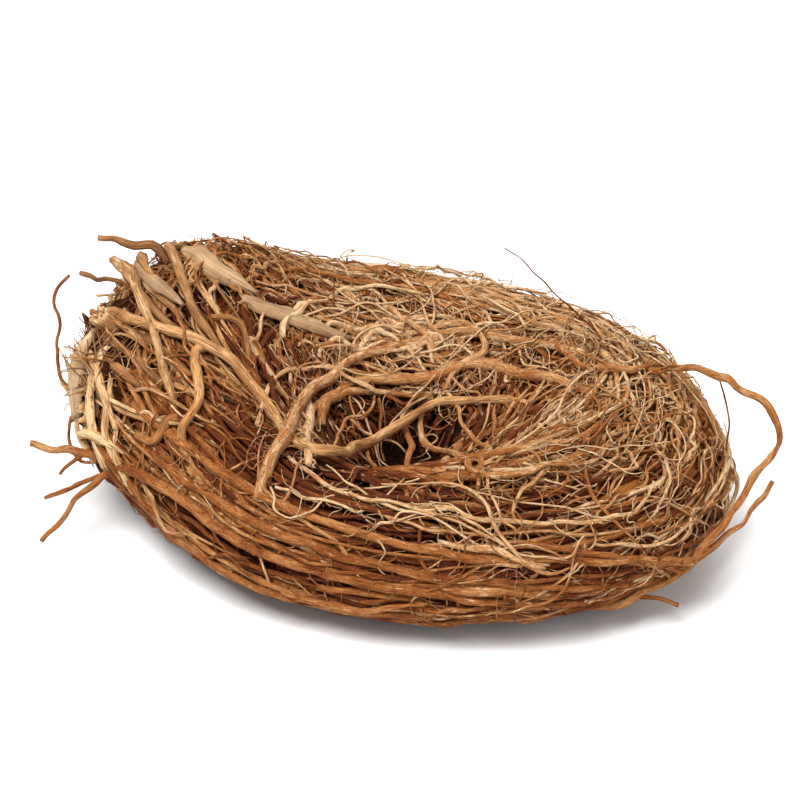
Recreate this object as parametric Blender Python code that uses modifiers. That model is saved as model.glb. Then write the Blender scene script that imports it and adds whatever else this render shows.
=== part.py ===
"""Dried vetiver root: one clump, its long roots folded round into an oval nest.

The woody crown with its cut stem bases is at the -X end. The roots leave it on both sides, run along
the front (-Y) and the back (+Y), turn at the +X end and lie over each other round a hollow.
Lengths are in metres, +Z is up, and the origin is the middle of the flat spot that the nest rests on.

A place on the nest is a bearing and a fold, both in degrees. The bearing goes round +Z from +X, so the
front is 270. The fold goes across the wall: -90 at the foot, 0 at the waist, 90 on the rim and 180 at
the middle of the hollow. Below -90 it crosses the flat underside.
"""

import math
import random

import bmesh
import bpy
from mathutils import Vector, noise

MM = 0.001

# The nest's outer shape
HALF_LENGTH = 76 * MM
HALF_WIDTH = 54 * MM
RIM_HEIGHT = 38 * MM
CROWN_RISE = 14 * MM
BACK_RISE = 9 * MM
BACK_DIP = 7 * MM
RIM_SHARE = 0.62
FOOT_SHARE = 0.45
WAIST_SHARE = 0.42
HOLLOW = Vector((4, -14, 16)) * MM
CUT_CORNER = 0.08
CUT_BEARING = 232
CUT_SPREAD = 32

# The packed inner roots, as one core that the outer roots stand out of
CORE_LIFT = -1.3 * MM
CORE_LUMP = 0.9 * MM
CORE_LUMP_SIZE = 14 * MM
CORE_RIDGE = 0.75 * MM
CORE_WEAVE = 7
CORE_ROUND = 28
CORE_ACROSS = 48

# Roots laid round the nest
SEED = 11
COVER_ROWS = 9
COVER_FOLDS = (-58, 150)
ROOTS_PER_ROW = 3
ROOT_SWEEP = (100, 135)
ROOT_DRIFT = 16
ROOT_STEP = 17
ROOT_RADIUS = (0.95 * MM, 1.5 * MM)
ROOT_LIFT = (-0.7 * MM, 0.4 * MM)
ROOT_KINK = 0.45 * MM
ROOT_SIDES = 3
TIP_SHARE = 0.45
LEAST_HEIGHT = 0.4 * MM

# Roots drawn through the hollow towards the +X end
SHEAF_ROOTS = 9
SHEAF_START = (150, 262)
SHEAF_END = (-38, 34)
SHEAF_RADIUS = (1.0 * MM, 1.5 * MM)

# Gap between nodes that touch
CLEARANCE = 0.3 * MM

# Roots that cross over the others: radius in mm, then (bearing, fold, lift in mm) along each
OVER_ROOTS = {
    "bowed": (1.45, [(257, 36, 1.0), (254, 58, 1.6), (248, 92, 2.0), (232, 118, 2.0), (176, 140, 1.5),
                     (138, 136, 1.0), (112, 131, 1.0), (86, 121, 1.0), (62, 115, 0.6), (38, 107, 0.6)]),
    "orange_bow": (1.35, [(196, 146, 0.6), (148, 145, 1.2), (120, 139, 1.4), (86, 135, 1.4),
                          (66, 126, 1.2), (40, 121, 1.0), (14, 107, 0.6), (4, 92, 0.2)]),
    "riser": (1.2, [(258, 94, 0.2), (238, 118, 1.0), (186, 145, 1.4), (150, 146, 1.6), (116, 144, 1.4),
                    (92, 141, 0.8)]),
    "loop": (0.9, [(108, 126, 0.4), (94, 118, 1.4), (80, 115, 1.8), (68, 119, 2.2), (64, 124, 2.2),
                   (70, 131, 1.8), (72, 138, 0.6)]),
    "hollow_edge": (1.0, [(76, 148, 0.4), (70, 158, 0.8), (44, 162, 1.4), (350, 152, 2.6), (308, 108, 2.0),
                          (306, 88, 1.2), (314, 77, 1.0), (326, 75, 0.8), (338, 78, 0.4)]),
    "dropping": (0.9, [(64, 140, 0.8), (52, 144, 1.4), (24, 150, 2.0), (330, 128, 2.2), (306, 98, 1.8),
                       (304, 84, 0.6)]),
    "pale_front": (0.8, [(262, 74, 0.2), (276, 68, 1.0), (290, 66, 1.4), (304, 53, 1.4), (314, 44, 1.4),
                         (322, 42, 1.6), (328, 42, 1.8), (334, 46, 2.2)]),
    "right_top": (1.3, [(40, 101, 0.2), (22, 101, 1.0), (13, 88, 1.4), (18, 74, 1.2), (28, 60, 0.6)]),
    "front_band": (1.5, [(214, 6, 0.2), (228, 18, 1.2), (244, 22, 1.4), (262, 20, 1.4), (282, 12, 1.4),
                         (300, 2, 1.0), (316, -10, 0.4)]),
    "front_rim": (1.35, [(222, 44, 0.4), (238, 48, 1.0), (256, 50, 1.2), (276, 44, 1.2), (294, 34, 1.0),
                         (312, 26, 0.8), (326, 14, 1.6), (334, 0, 3.6)]),
    "low_edge": (1.3, [(228, 4, 0.6), (242, -8, 1.6), (256, -14, 2.0), (270, -14, 1.8), (284, -18, 1.0)]),
}

# Roots and ends that stand clear of the nest: radius in mm, then points in mm
STRAY_ROOTS = {
    "left_hook": (0.65, [(-65, -8, 9), (-73, -8, 12), (-80, -6, 20), (-84, -1, 32), (-85, 3, 40),
                         (-83, 6, 45)]),
    "left_low": (0.85, [(-54, -24, 19), (-60, -27, 19), (-67, -29, 19), (-73, -31, 20), (-77, -32, 21)]),
    "left_down": (0.85, [(-50, -27, 18), (-57, -31, 17), (-63, -35, 13), (-66, -39, 8), (-70, -43, 3)]),
    "left_bow": (0.55, [(-61, -27, 11), (-68, -26, 13), (-72, -23, 17), (-73, -19, 23)]),
    "tail": (0.9, [(-46, -36, 20), (-42, -43, 20), (-38, -46, 15), (-31, -47, 12), (-25, -47, 9)]),
    "right_loop": (1.25, [(22, -48, 12), (36, -45, 8), (50, -39, 6), (60, -32, 6), (68, -25, 9),
                          (75, -18, 17), (81, -12, 25), (86, -5, 33), (86, 0, 39), (81, 3, 43),
                          (76, 6, 44), (70, 9, 43), (63, 12, 38)]),
    "right_second": (0.95, [(56, -34, 10), (66, -27, 10), (74, -21, 14), (80, -15, 20), (87, -8, 28)]),
    "top_edge": (0.7, [(-38, 20, 48), (-30, 25, 51), (-21, 27, 49), (-12, 30, 49), (-2, 33, 48),
                       (6, 34, 45)]),
    "top_hair": (0.4, [(45, 17, 37), (36, 20, 48), (29, 21, 53), (23, 21, 57), (17, 21, 61)]),
}

# The crown: its rootstock, and the cut stem bases as (foot, direction, length, radius) in mm
CROWN_CENTRE = Vector((-60, -5, 32)) * MM
CROWN_HALF = Vector((14, 21, 20)) * MM
CROWN_LUMP = 2.4 * MM
CROWN_LUMP_SIZE = 9 * MM
CROWN_ROUND = 20
CROWN_ACROSS = 12
STEM_SIDES = 8
STEM_BASES = {
    "low": ((-60, -18, 27), (-0.74, -0.66, -0.12), 14, 3.6),
    "front": ((-62, -14, 34), (-0.88, -0.46, 0.14), 13, 3.4),
    "middle": ((-64, -4, 36), (-0.97, -0.10, 0.22), 11, 3.8),
    "back": ((-62, 6, 38), (-0.86, 0.34, 0.38), 12, 3.2),
    "upper": ((-60, 0, 44), (-0.72, 0.05, 0.70), 11, 3.0),
    "side": ((-61, -12, 42), (-0.62, -0.34, 0.71), 10, 2.6),
    "foot": ((-63, -4, 24), (-0.94, -0.22, -0.26), 11, 3.2),
}

# Thick pale roots that spring from the crown: radius in mm, then (bearing, fold, lift in mm)
CROWN_ROOTS = {
    "long": (1.45, [(186, 44, 2.0), (196, 60, 2.4), (206, 84, 2.0), (211, 100, 1.8), (226, 102, 2.2),
                    (244, 100, 2.4), (256, 106, 3.2), (252, 136, 6.5), (180, 170, 9.0), (92, 156, 6.0),
                    (72, 144, 3.6), (52, 135, 2.2), (36, 126, 1.6), (22, 114, 0.8)]),
    "steep": (1.3, [(176, 46, 3.4), (178, 56, 3.6), (190, 64, 3.2), (202, 70, 3.0), (214, 66, 2.6),
                    (222, 56, 1.6), (226, 46, 0.6)]),
    "over": (1.3, [(166, 68, 2.0), (174, 80, 3.0), (190, 90, 3.2), (200, 94, 3.0), (208, 97, 2.0)]),
    "inner": (1.1, [(190, 98, 1.6), (190, 112, 2.4), (198, 115, 2.4), (212, 112, 2.2), (228, 104, 1.0)]),
    "low": (1.2, [(188, 34, 1.6), (202, 50, 2.0), (212, 58, 2.0), (220, 58, 1.2)]),
    "drop": (1.35, [(212, 88, 0.8), (218, 78, 2.2), (226, 66, 2.6), (230, 54, 2.2), (233, 40, 1.2)]),
    "hook": (1.3, [(222, 56, 1.0), (226, 46, 2.2), (226, 34, 2.2), (220, 28, 1.0)]),
    "top_end": (0.9, [(162, 72, 0.4), (166, 66, 3.0), (168, 62, 6.0), (170, 58, 9.5)]),
    "left_end": (0.75, [(172, 56, 1.0), (174, 48, 3.0), (175, 44, 6.0), (174, 41, 9.0)]),
}

# Dry leaf sheaths: width in mm, then (bearing, fold, lift in mm) along each
SHEATH_THICK = 0.7 * MM
SHEATH_STEPS = 3
SHEATH_CUP = 0.14
SHEATHS = {
    "sheath_upper": (5.2, [(160, 70, 1.8), (167, 84, 2.6), (172, 96, 3.0), (168, 106, 2.4), (160, 111, 1.6)]),
    "sheath_back": (4.4, [(172, 112, 2.2), (164, 119, 2.6), (150, 123, 2.4), (134, 125, 1.8), (124, 125, 1.2)]),
    "sheath_crown": (3.2, [(182, 68, 4.6), (189, 76, 4.6), (194, 83, 4.4), (199, 89, 4.0)]),
    "sheath_left": (4.6, [(206, 12, 3.6), (203, 24, 4.4), (200, 35, 4.6), (197, 44, 4.0)]),
}

SHARP_ANGLE = 28
ROOT_BARK = (0.50, 0.24, 0.08, 1)
CROWN_WOOD = (0.52, 0.36, 0.19, 1)
DRY_LEAF = (0.66, 0.49, 0.29, 1)


def nest_point(bearing, fold, lift=0.0):
    """The point of the nest's outer shape at a bearing and a fold, moved out by lift."""
    east, north = math.cos(math.radians(bearing)), math.sin(math.radians(bearing))
    off_corner = (bearing - CUT_BEARING + 180) % 360 - 180
    plan = 1 - CUT_CORNER * math.exp(-((off_corner / CUT_SPREAD) ** 2))
    along, across = HALF_LENGTH * plan + lift, HALF_WIDTH * plan + lift
    top = RIM_HEIGHT + CROWN_RISE * max(0.0, -east) ** 2 + BACK_RISE * north + lift
    top -= BACK_DIP * max(0.0, north) ** 2
    waist = WAIST_SHARE * top
    turn = math.radians(fold)
    if fold <= -90:
        share, height = FOOT_SHARE * (fold + 180) / 90, 0.0
    elif fold <= 0:
        share, height = 1 - (1 - FOOT_SHARE) * (1 - math.cos(turn)), waist * (1 + math.sin(turn))
    else:
        rise = math.sin(min(turn, math.pi / 2))
        share = RIM_SHARE + (1 - RIM_SHARE) * max(0.0, math.cos(turn))
        height = waist + (top - waist) * rise
    point = Vector((along * share * east, across * share * north, height))
    if fold > 90:
        inward = (fold - 90) / 90
        sink = inward * inward * (3 - 2 * inward)
        point.xy = point.xy.lerp(HOLLOW.xy, inward)
        point.z = top + (HOLLOW.z + lift - top) * sink
    return point


def smooth_path(points, steps):
    """A Catmull-Rom curve through the points, with that many steps between each two."""
    padded = [2 * points[0] - points[1], *points, 2 * points[-1] - points[-2]]
    path = []
    for before, start, end, after in zip(padded, padded[1:], padded[2:], padded[3:]):
        for step in range(steps):
            t = step / steps
            path.append(0.5 * (2 * start + (end - before) * t
                               + (2 * before - 5 * start + 4 * end - after) * t ** 2
                               + (3 * start - before - 3 * end + after) * t ** 3))
    path.append(points[-1].copy())
    return path


def on_nest(route):
    """A route of (bearing, fold, lift in mm) as points."""
    return [nest_point(bearing, fold, lift * MM) for bearing, fold, lift in route]


def in_mm(route):
    return [Vector(point) * MM for point in route]


def material(name, colour, roughness):
    made = bpy.data.materials.new(name)
    made.use_nodes = True
    made.diffuse_color = colour
    shader = made.node_tree.nodes["Principled BSDF"]
    shader.inputs["Base Color"].default_value = colour
    shader.inputs["Roughness"].default_value = roughness
    shader.inputs["Metallic"].default_value = 0.0
    return made


def new_collection(name):
    made = bpy.data.collections.new(name)
    bpy.context.scene.collection.children.link(made)
    return made


def section_curve(sides):
    """A root's cross-section: a regular polygon of radius 1."""
    data = bpy.data.curves.new(f"section_{sides}", "CURVE")
    spline = data.splines.new("POLY")
    spline.points.add(sides - 1)
    for index, point in enumerate(spline.points):
        angle = 2 * math.pi * index / sides
        point.co = (math.cos(angle), math.sin(angle), 0, 1)
    spline.use_cyclic_u = True
    guide = bpy.data.objects.new(data.name, data)
    guide.hide_render = True
    bpy.context.scene.collection.objects.link(guide)
    return guide


def root_curve(name, path, radii, section, collection):
    """A root as a curve with that cross-section along it and closed ends."""
    data = bpy.data.curves.new(name, "CURVE")
    data.dimensions = "3D"
    data.bevel_mode = "OBJECT"
    data.bevel_object = section
    data.use_fill_caps = True
    spline = data.splines.new("POLY")
    spline.points.add(len(path) - 1)
    for point, place, radius in zip(spline.points, path, radii):
        height = max(place.z, radius + LEAST_HEIGHT)
        point.co = (place.x, place.y, height, 1)
        point.radius = radius
    made = bpy.data.objects.new(name, data)
    collection.objects.link(made)
    return made


def as_meshes(collection):
    """Turns each curve of the collection into a closed mesh."""
    graph = bpy.context.evaluated_depsgraph_get()
    for curve in list(collection.objects):
        if curve.type != "CURVE":
            continue
        mesh = bpy.data.meshes.new_from_object(curve.evaluated_get(graph))
        shape = bmesh.new()
        shape.from_mesh(mesh)
        bmesh.ops.remove_doubles(shape, verts=shape.verts, dist=0.01 * MM)
        bmesh.ops.recalc_face_normals(shape, faces=shape.faces)
        shape.to_mesh(mesh)
        shape.free()
        name, place = curve.name, curve.matrix_world.copy()
        bpy.data.objects.remove(curve)
        made = bpy.data.objects.new(name, mesh)
        made.matrix_world = place
        collection.objects.link(made)


def tapered(radius, count, tip=TIP_SHARE):
    """Radii along a root that thins towards its end."""
    return [radius * (1 + (tip - 1) * (index / (count - 1)) ** 2) for index in range(count)]


def core_body():
    """The packed inner roots: a sphere's rows laid on the nest's shape, a little inside it."""
    shape = bmesh.new()
    bmesh.ops.create_uvsphere(shape, u_segments=CORE_ROUND, v_segments=CORE_ACROSS, radius=1)
    for vertex in shape.verts:
        bearing = math.degrees(math.atan2(vertex.co.y, vertex.co.x)) % 360
        row = round(CORE_ACROSS * (math.asin(max(-1.0, min(1.0, vertex.co.z))) / math.pi + 0.5))
        fold = -180 + 360 * row / CORE_ACROSS
        lift = CORE_LIFT
        if fold > -90:
            lump = noise.noise(nest_point(bearing, fold) / CORE_LUMP_SIZE)
            ridge = 1 if row % 2 else -1
            lift += CORE_LUMP * lump + CORE_RIDGE * ridge
            weave = CORE_WEAVE * math.sin(math.radians(2 * bearing + 40)) * math.cos(math.radians(fold)) ** 2
            fold = min(180, max(-90, fold + weave))
        vertex.co = nest_point(bearing, fold, lift)
    mesh = bpy.data.meshes.new("core")
    shape.to_mesh(mesh)
    shape.free()
    return bpy.data.objects.new("root_nest", mesh)


def ring_roots(section, collection, dice):
    """Roots laid round the wall in rows, each row turned from the last so that the ends scatter."""
    low, high = COVER_FOLDS
    for row in range(COVER_ROWS):
        for place in range(ROOTS_PER_ROW):
            fold = low + (high - low) * (row + dice.uniform(0.1, 0.9)) / COVER_ROWS
            start = 360 * ((place + dice.uniform(-0.25, 0.25)) / ROOTS_PER_ROW + 0.382 * row)
            sweep = dice.uniform(*ROOT_SWEEP) * (1 if row % 2 else -1)
            drift = dice.uniform(-ROOT_DRIFT, ROOT_DRIFT)
            lift = dice.uniform(*ROOT_LIFT)
            count = max(4, round(abs(sweep) / ROOT_STEP))
            path = []
            for index in range(count):
                share = index / (count - 1)
                point = nest_point(start + sweep * share, fold + drift * share, lift)
                path.append(point + ROOT_KINK * Vector([dice.uniform(-1, 1) for _ in range(3)]))
            radii = tapered(dice.uniform(*ROOT_RADIUS), count)
            root_curve(f"ring_{row}_{place}", path, radii, section, collection)


def sheaf_roots(section, collection, dice):
    """Roots drawn from the near side of the hollow, across it and up towards the +X end."""
    for index in range(SHEAF_ROOTS):
        share = index / (SHEAF_ROOTS - 1)
        start = SHEAF_START[1] + (SHEAF_START[0] - SHEAF_START[1]) * share + dice.uniform(-6, 6)
        end = SHEAF_END[0] + (SHEAF_END[1] - SHEAF_END[0]) * share + dice.uniform(-5, 5)
        key_points = [
            nest_point(start, dice.uniform(118, 132), -0.6 * MM),
            nest_point(start, dice.uniform(146, 156), 1.0 * MM),
            nest_point(end, dice.uniform(142, 152), 1.2 * MM),
            nest_point(end, 116, 0.9 * MM),
            nest_point(end, 88, 0.2 * MM),
        ]
        path = smooth_path(key_points, 2)
        radii = tapered(dice.uniform(*SHEAF_RADIUS), len(path))
        root_curve(f"sheaf_{index}", path, radii, section, collection)


def over_roots(section, collection):
    for name, (radius, route) in OVER_ROOTS.items():
        path = smooth_path(on_nest(route), 2)
        root_curve(f"over_{name}", path, tapered(radius * MM, len(path), 0.7), section, collection)


def stray_roots(section, collection):
    for name, (radius, route) in STRAY_ROOTS.items():
        path = smooth_path(in_mm(route), 2)
        root_curve(f"stray_{name}", path, tapered(radius * MM, len(path), 0.7), section, collection)


def crown_body(name, grow):
    """The rootstock: a knobbly lump, grown outward by that much."""
    shape = bmesh.new()
    bmesh.ops.create_uvsphere(shape, u_segments=CROWN_ROUND, v_segments=CROWN_ACROSS, radius=1)
    for vertex in shape.verts:
        way = vertex.co.normalized()
        place = CROWN_CENTRE + way * CROWN_HALF
        lump = CROWN_LUMP * noise.noise(place / CROWN_LUMP_SIZE)
        vertex.co = place + way * (lump + grow)
    bmesh.ops.triangulate(shape, faces=shape.faces, quad_method="FIXED")
    mesh = bpy.data.meshes.new(name)
    shape.to_mesh(mesh)
    shape.free()
    return bpy.data.objects.new(name, mesh)


def stem_bases(collection, grow):
    """The cut bases of the stems, as short slightly widening stubs."""
    for name, (foot, direction, length, radius) in STEM_BASES.items():
        way = Vector(direction).normalized()
        reach = length * MM + grow
        shape = bmesh.new()
        bmesh.ops.create_cone(shape, cap_ends=True, segments=STEM_SIDES, depth=reach,
                              radius1=radius * MM + grow, radius2=0.86 * radius * MM + grow)
        mesh = bpy.data.meshes.new(f"stem_{name}")
        shape.to_mesh(mesh)
        shape.free()
        made = bpy.data.objects.new(mesh.name, mesh)
        made.rotation_mode = "QUATERNION"
        made.rotation_quaternion = way.to_track_quat("Z", "Y")
        made.location = Vector(foot) * MM + way * reach / 2
        collection.objects.link(made)


def crown_roots(section, collection, grow):
    for name, (radius, route) in CROWN_ROOTS.items():
        path = smooth_path(on_nest(route), 2)
        path[0] += (path[0] - path[1]).normalized() * grow
        path[-1] += (path[-1] - path[-2]).normalized() * grow
        radii = [value + grow for value in tapered(radius * MM, len(path), 0.7)]
        root_curve(f"crown_root_{name}", path, radii, section, collection)


def sheath(name, width, route, grow, collection):
    """A dry leaf sheath: a channelled strip that narrows to its tip, thickened by Solidify."""
    path = smooth_path(on_nest(route), SHEATH_STEPS)
    above = smooth_path(on_nest([(bearing, fold, lift + 1) for bearing, fold, lift in route]), SHEATH_STEPS)
    last = len(path) - 1
    shape = bmesh.new()
    bmesh.ops.create_grid(shape, x_segments=last, y_segments=2, size=1)
    for vertex in shape.verts:
        index = round((vertex.co.x + 1) / 2 * last)
        share = index / last
        ahead = (path[min(index + 1, last)] - path[max(index - 1, 0)]).normalized()
        outward = (above[index] - path[index]).normalized()
        side = ahead.cross(outward).normalized()
        half = width * MM / 2 * math.sin(math.pi * (0.25 + 0.65 * share)) ** 0.7 + grow
        cup = SHEATH_CUP * width * MM * (1 - vertex.co.y ** 2)
        past_end = ahead * grow * ((index == last) - (index == 0))
        vertex.co = path[index] + side * half * vertex.co.y + outward * cup + past_end
    mesh = bpy.data.meshes.new(name)
    shape.to_mesh(mesh)
    shape.free()
    made = bpy.data.objects.new(name, mesh)
    collection.objects.link(made)
    thick = made.modifiers.new("thickness", "SOLIDIFY")
    thick.thickness = SHEATH_THICK + 2 * grow
    thick.offset = 0
    return made


def boolean(target, operation, collection):
    """Joins a collection's shapes to the target, or cuts them from it, and applies that."""
    change = target.modifiers.new(operation.lower(), "BOOLEAN")
    change.operation = operation
    change.operand_type = "COLLECTION"
    change.collection = collection
    change.solver = "MANIFOLD"
    graph = bpy.context.evaluated_depsgraph_get()
    mesh = bpy.data.meshes.new_from_object(target.evaluated_get(graph))
    target.modifiers.clear()
    target.data = mesh


def clear_out(collection):
    for helper in list(collection.objects):
        bpy.data.objects.remove(helper)
    bpy.data.collections.remove(collection)


def keep_largest_body(target):
    """Drops the scraps that cutting leaves, and keeps the one large body."""
    shape = bmesh.new()
    shape.from_mesh(target.data)
    unseen, bodies = set(shape.verts), []
    while unseen:
        front, body = [unseen.pop()], []
        while front:
            vertex = front.pop()
            body.append(vertex)
            for edge in vertex.link_edges:
                other = edge.other_vert(vertex)
                if other in unseen:
                    unseen.remove(other)
                    front.append(other)
        bodies.append(body)
    bodies.sort(key=len)
    for body in bodies[:-1]:
        bmesh.ops.delete(shape, geom=body, context="VERTS")
    shape.to_mesh(target.data)
    shape.free()


def finish_node(node, look):
    """Gives a node its material, and smooth shading that stops at its sharp edges."""
    node.data.materials.clear()
    node.data.materials.append(look)
    node.data.shade_smooth()
    node.data.set_sharp_from_angle(angle=math.radians(SHARP_ANGLE))


def leaf_sheaths(model, look):
    """The dry leaf sheaths, each a node of its own."""
    for name, (width, route) in SHEATHS.items():
        made = sheath(name, width, route, 0.0, model)
        finish_node(made, look)


def crown_shape(name, grow, collection, section):
    """The rootstock, with its stem bases and roots put in the collection, all grown by that much."""
    stem_bases(collection, grow)
    crown_roots(section, collection, grow)
    as_meshes(collection)
    return crown_body(name, grow)


def build():
    for old in list(bpy.data.objects):
        bpy.data.objects.remove(old)
    model = new_collection("vetiver_root")
    fine, coarse = section_curve(ROOT_SIDES), section_curve(ROOT_SIDES + 1)

    leaf_sheaths(model, material("dry_leaf", DRY_LEAF, 0.75))
    sheath_room = new_collection("sheath_room")
    for name, (width, route) in SHEATHS.items():
        sheath(f"{name}_room", width, route, CLEARANCE, sheath_room)

    crown_pieces = new_collection("crown_pieces")
    crown = crown_shape("crown", 0.0, crown_pieces, coarse)
    model.objects.link(crown)
    boolean(crown, "UNION", crown_pieces)
    boolean(crown, "DIFFERENCE", sheath_room)
    keep_largest_body(crown)
    finish_node(crown, material("crown_wood", CROWN_WOOD, 0.8))

    crown_room = new_collection("crown_room")
    crown_room.objects.link(crown_shape("crown_room", CLEARANCE, crown_room, coarse))

    dice = random.Random(SEED)
    nest_pieces = new_collection("nest_pieces")
    ring_roots(fine, nest_pieces, dice)
    sheaf_roots(fine, nest_pieces, dice)
    over_roots(coarse, nest_pieces)
    stray_roots(coarse, nest_pieces)
    as_meshes(nest_pieces)
    nest = core_body()
    model.objects.link(nest)
    boolean(nest, "UNION", nest_pieces)
    boolean(nest, "DIFFERENCE", crown_room)
    boolean(nest, "DIFFERENCE", sheath_room)
    keep_largest_body(nest)
    finish_node(nest, material("root_bark", ROOT_BARK, 0.8))

    for helpers in (crown_pieces, crown_room, nest_pieces, sheath_room):
        clear_out(helpers)
    for guide in (fine, coarse):
        bpy.data.objects.remove(guide)


build()
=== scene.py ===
"""Dried vetiver root: the finished clump, its roots, root hairs, crown and leaf sheaths.

Places on the nest are a bearing and a fold in degrees, and a lift in millimetres. The bearing goes round
+Z from +X, so the open front is 270 and the crown is 180. The fold goes across the wall: -90 at the foot,
0 at the waist, 90 on the rim, 180 at the middle of the hollow, and below -90 under the nest.
Shapes are worked out in millimetres and turned to metres when a piece is made.
"""

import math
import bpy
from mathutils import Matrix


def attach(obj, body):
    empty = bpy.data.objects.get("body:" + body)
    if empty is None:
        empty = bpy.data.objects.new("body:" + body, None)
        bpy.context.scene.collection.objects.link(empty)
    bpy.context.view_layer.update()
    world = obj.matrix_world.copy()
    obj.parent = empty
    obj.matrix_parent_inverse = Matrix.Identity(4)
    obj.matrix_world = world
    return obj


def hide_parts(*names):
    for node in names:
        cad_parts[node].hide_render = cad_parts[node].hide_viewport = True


bl_info = {
    "name": "Dried vetiver root",
    "version": (1, 0, 0),
    "blender": (4, 5, 0),
    "location": "3D View > Sidebar > Root",
    "description": "Builds a clump of dried vetiver root over its solids",
    "category": "Add Mesh",
}

import bpy
import numpy as np
from mathutils import Vector

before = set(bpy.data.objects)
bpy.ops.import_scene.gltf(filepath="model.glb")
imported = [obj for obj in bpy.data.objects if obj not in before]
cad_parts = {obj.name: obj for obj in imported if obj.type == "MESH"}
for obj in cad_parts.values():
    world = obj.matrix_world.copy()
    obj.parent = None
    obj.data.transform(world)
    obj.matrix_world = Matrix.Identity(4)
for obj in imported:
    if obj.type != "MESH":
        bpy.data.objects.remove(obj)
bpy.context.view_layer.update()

MM = 0.001

# The nest's outer shape, as in the solids
HALF_LENGTH, HALF_WIDTH = 76, 54
RIM_HEIGHT, CROWN_RISE, BACK_RISE, BACK_DIP = 38, 14, 9, 7
RIM_SHARE, FOOT_SHARE, WAIST_SHARE = 0.62, 0.45, 0.42
HOLLOW = (4, -14, 16)
CUT_CORNER, CUT_BEARING, CUT_SPREAD = 0.08, 232, 32

# A crease in its top behind the crown, which the solids don't have
CREASE, CREASE_BEARING, CREASE_SPREAD = 2.2, 130, 16

# Where the bark is darker: painted shade along the hollow's front lip and deep in the hollow, and a
# darker tone of the roots beside the crown's top
LIP_BEARING, LIP_SPREAD, LIP_SHADE = 268, 30, 0.38
TUFT_BEARING, TUFT_SPREAD, TUFT_STAIN = 150, 22, 0.3
DEEP_SHADE = 0.34

# The least height of anything over the floor, in mm
FLOOR_GAP = 0.12

# How far along its pattern a strand, a leaf or a stem can start, in mm, so that no two look alike
STRAND_OFFSET, LEAF_OFFSET, STEM_OFFSET = 400, 300, 200
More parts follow.
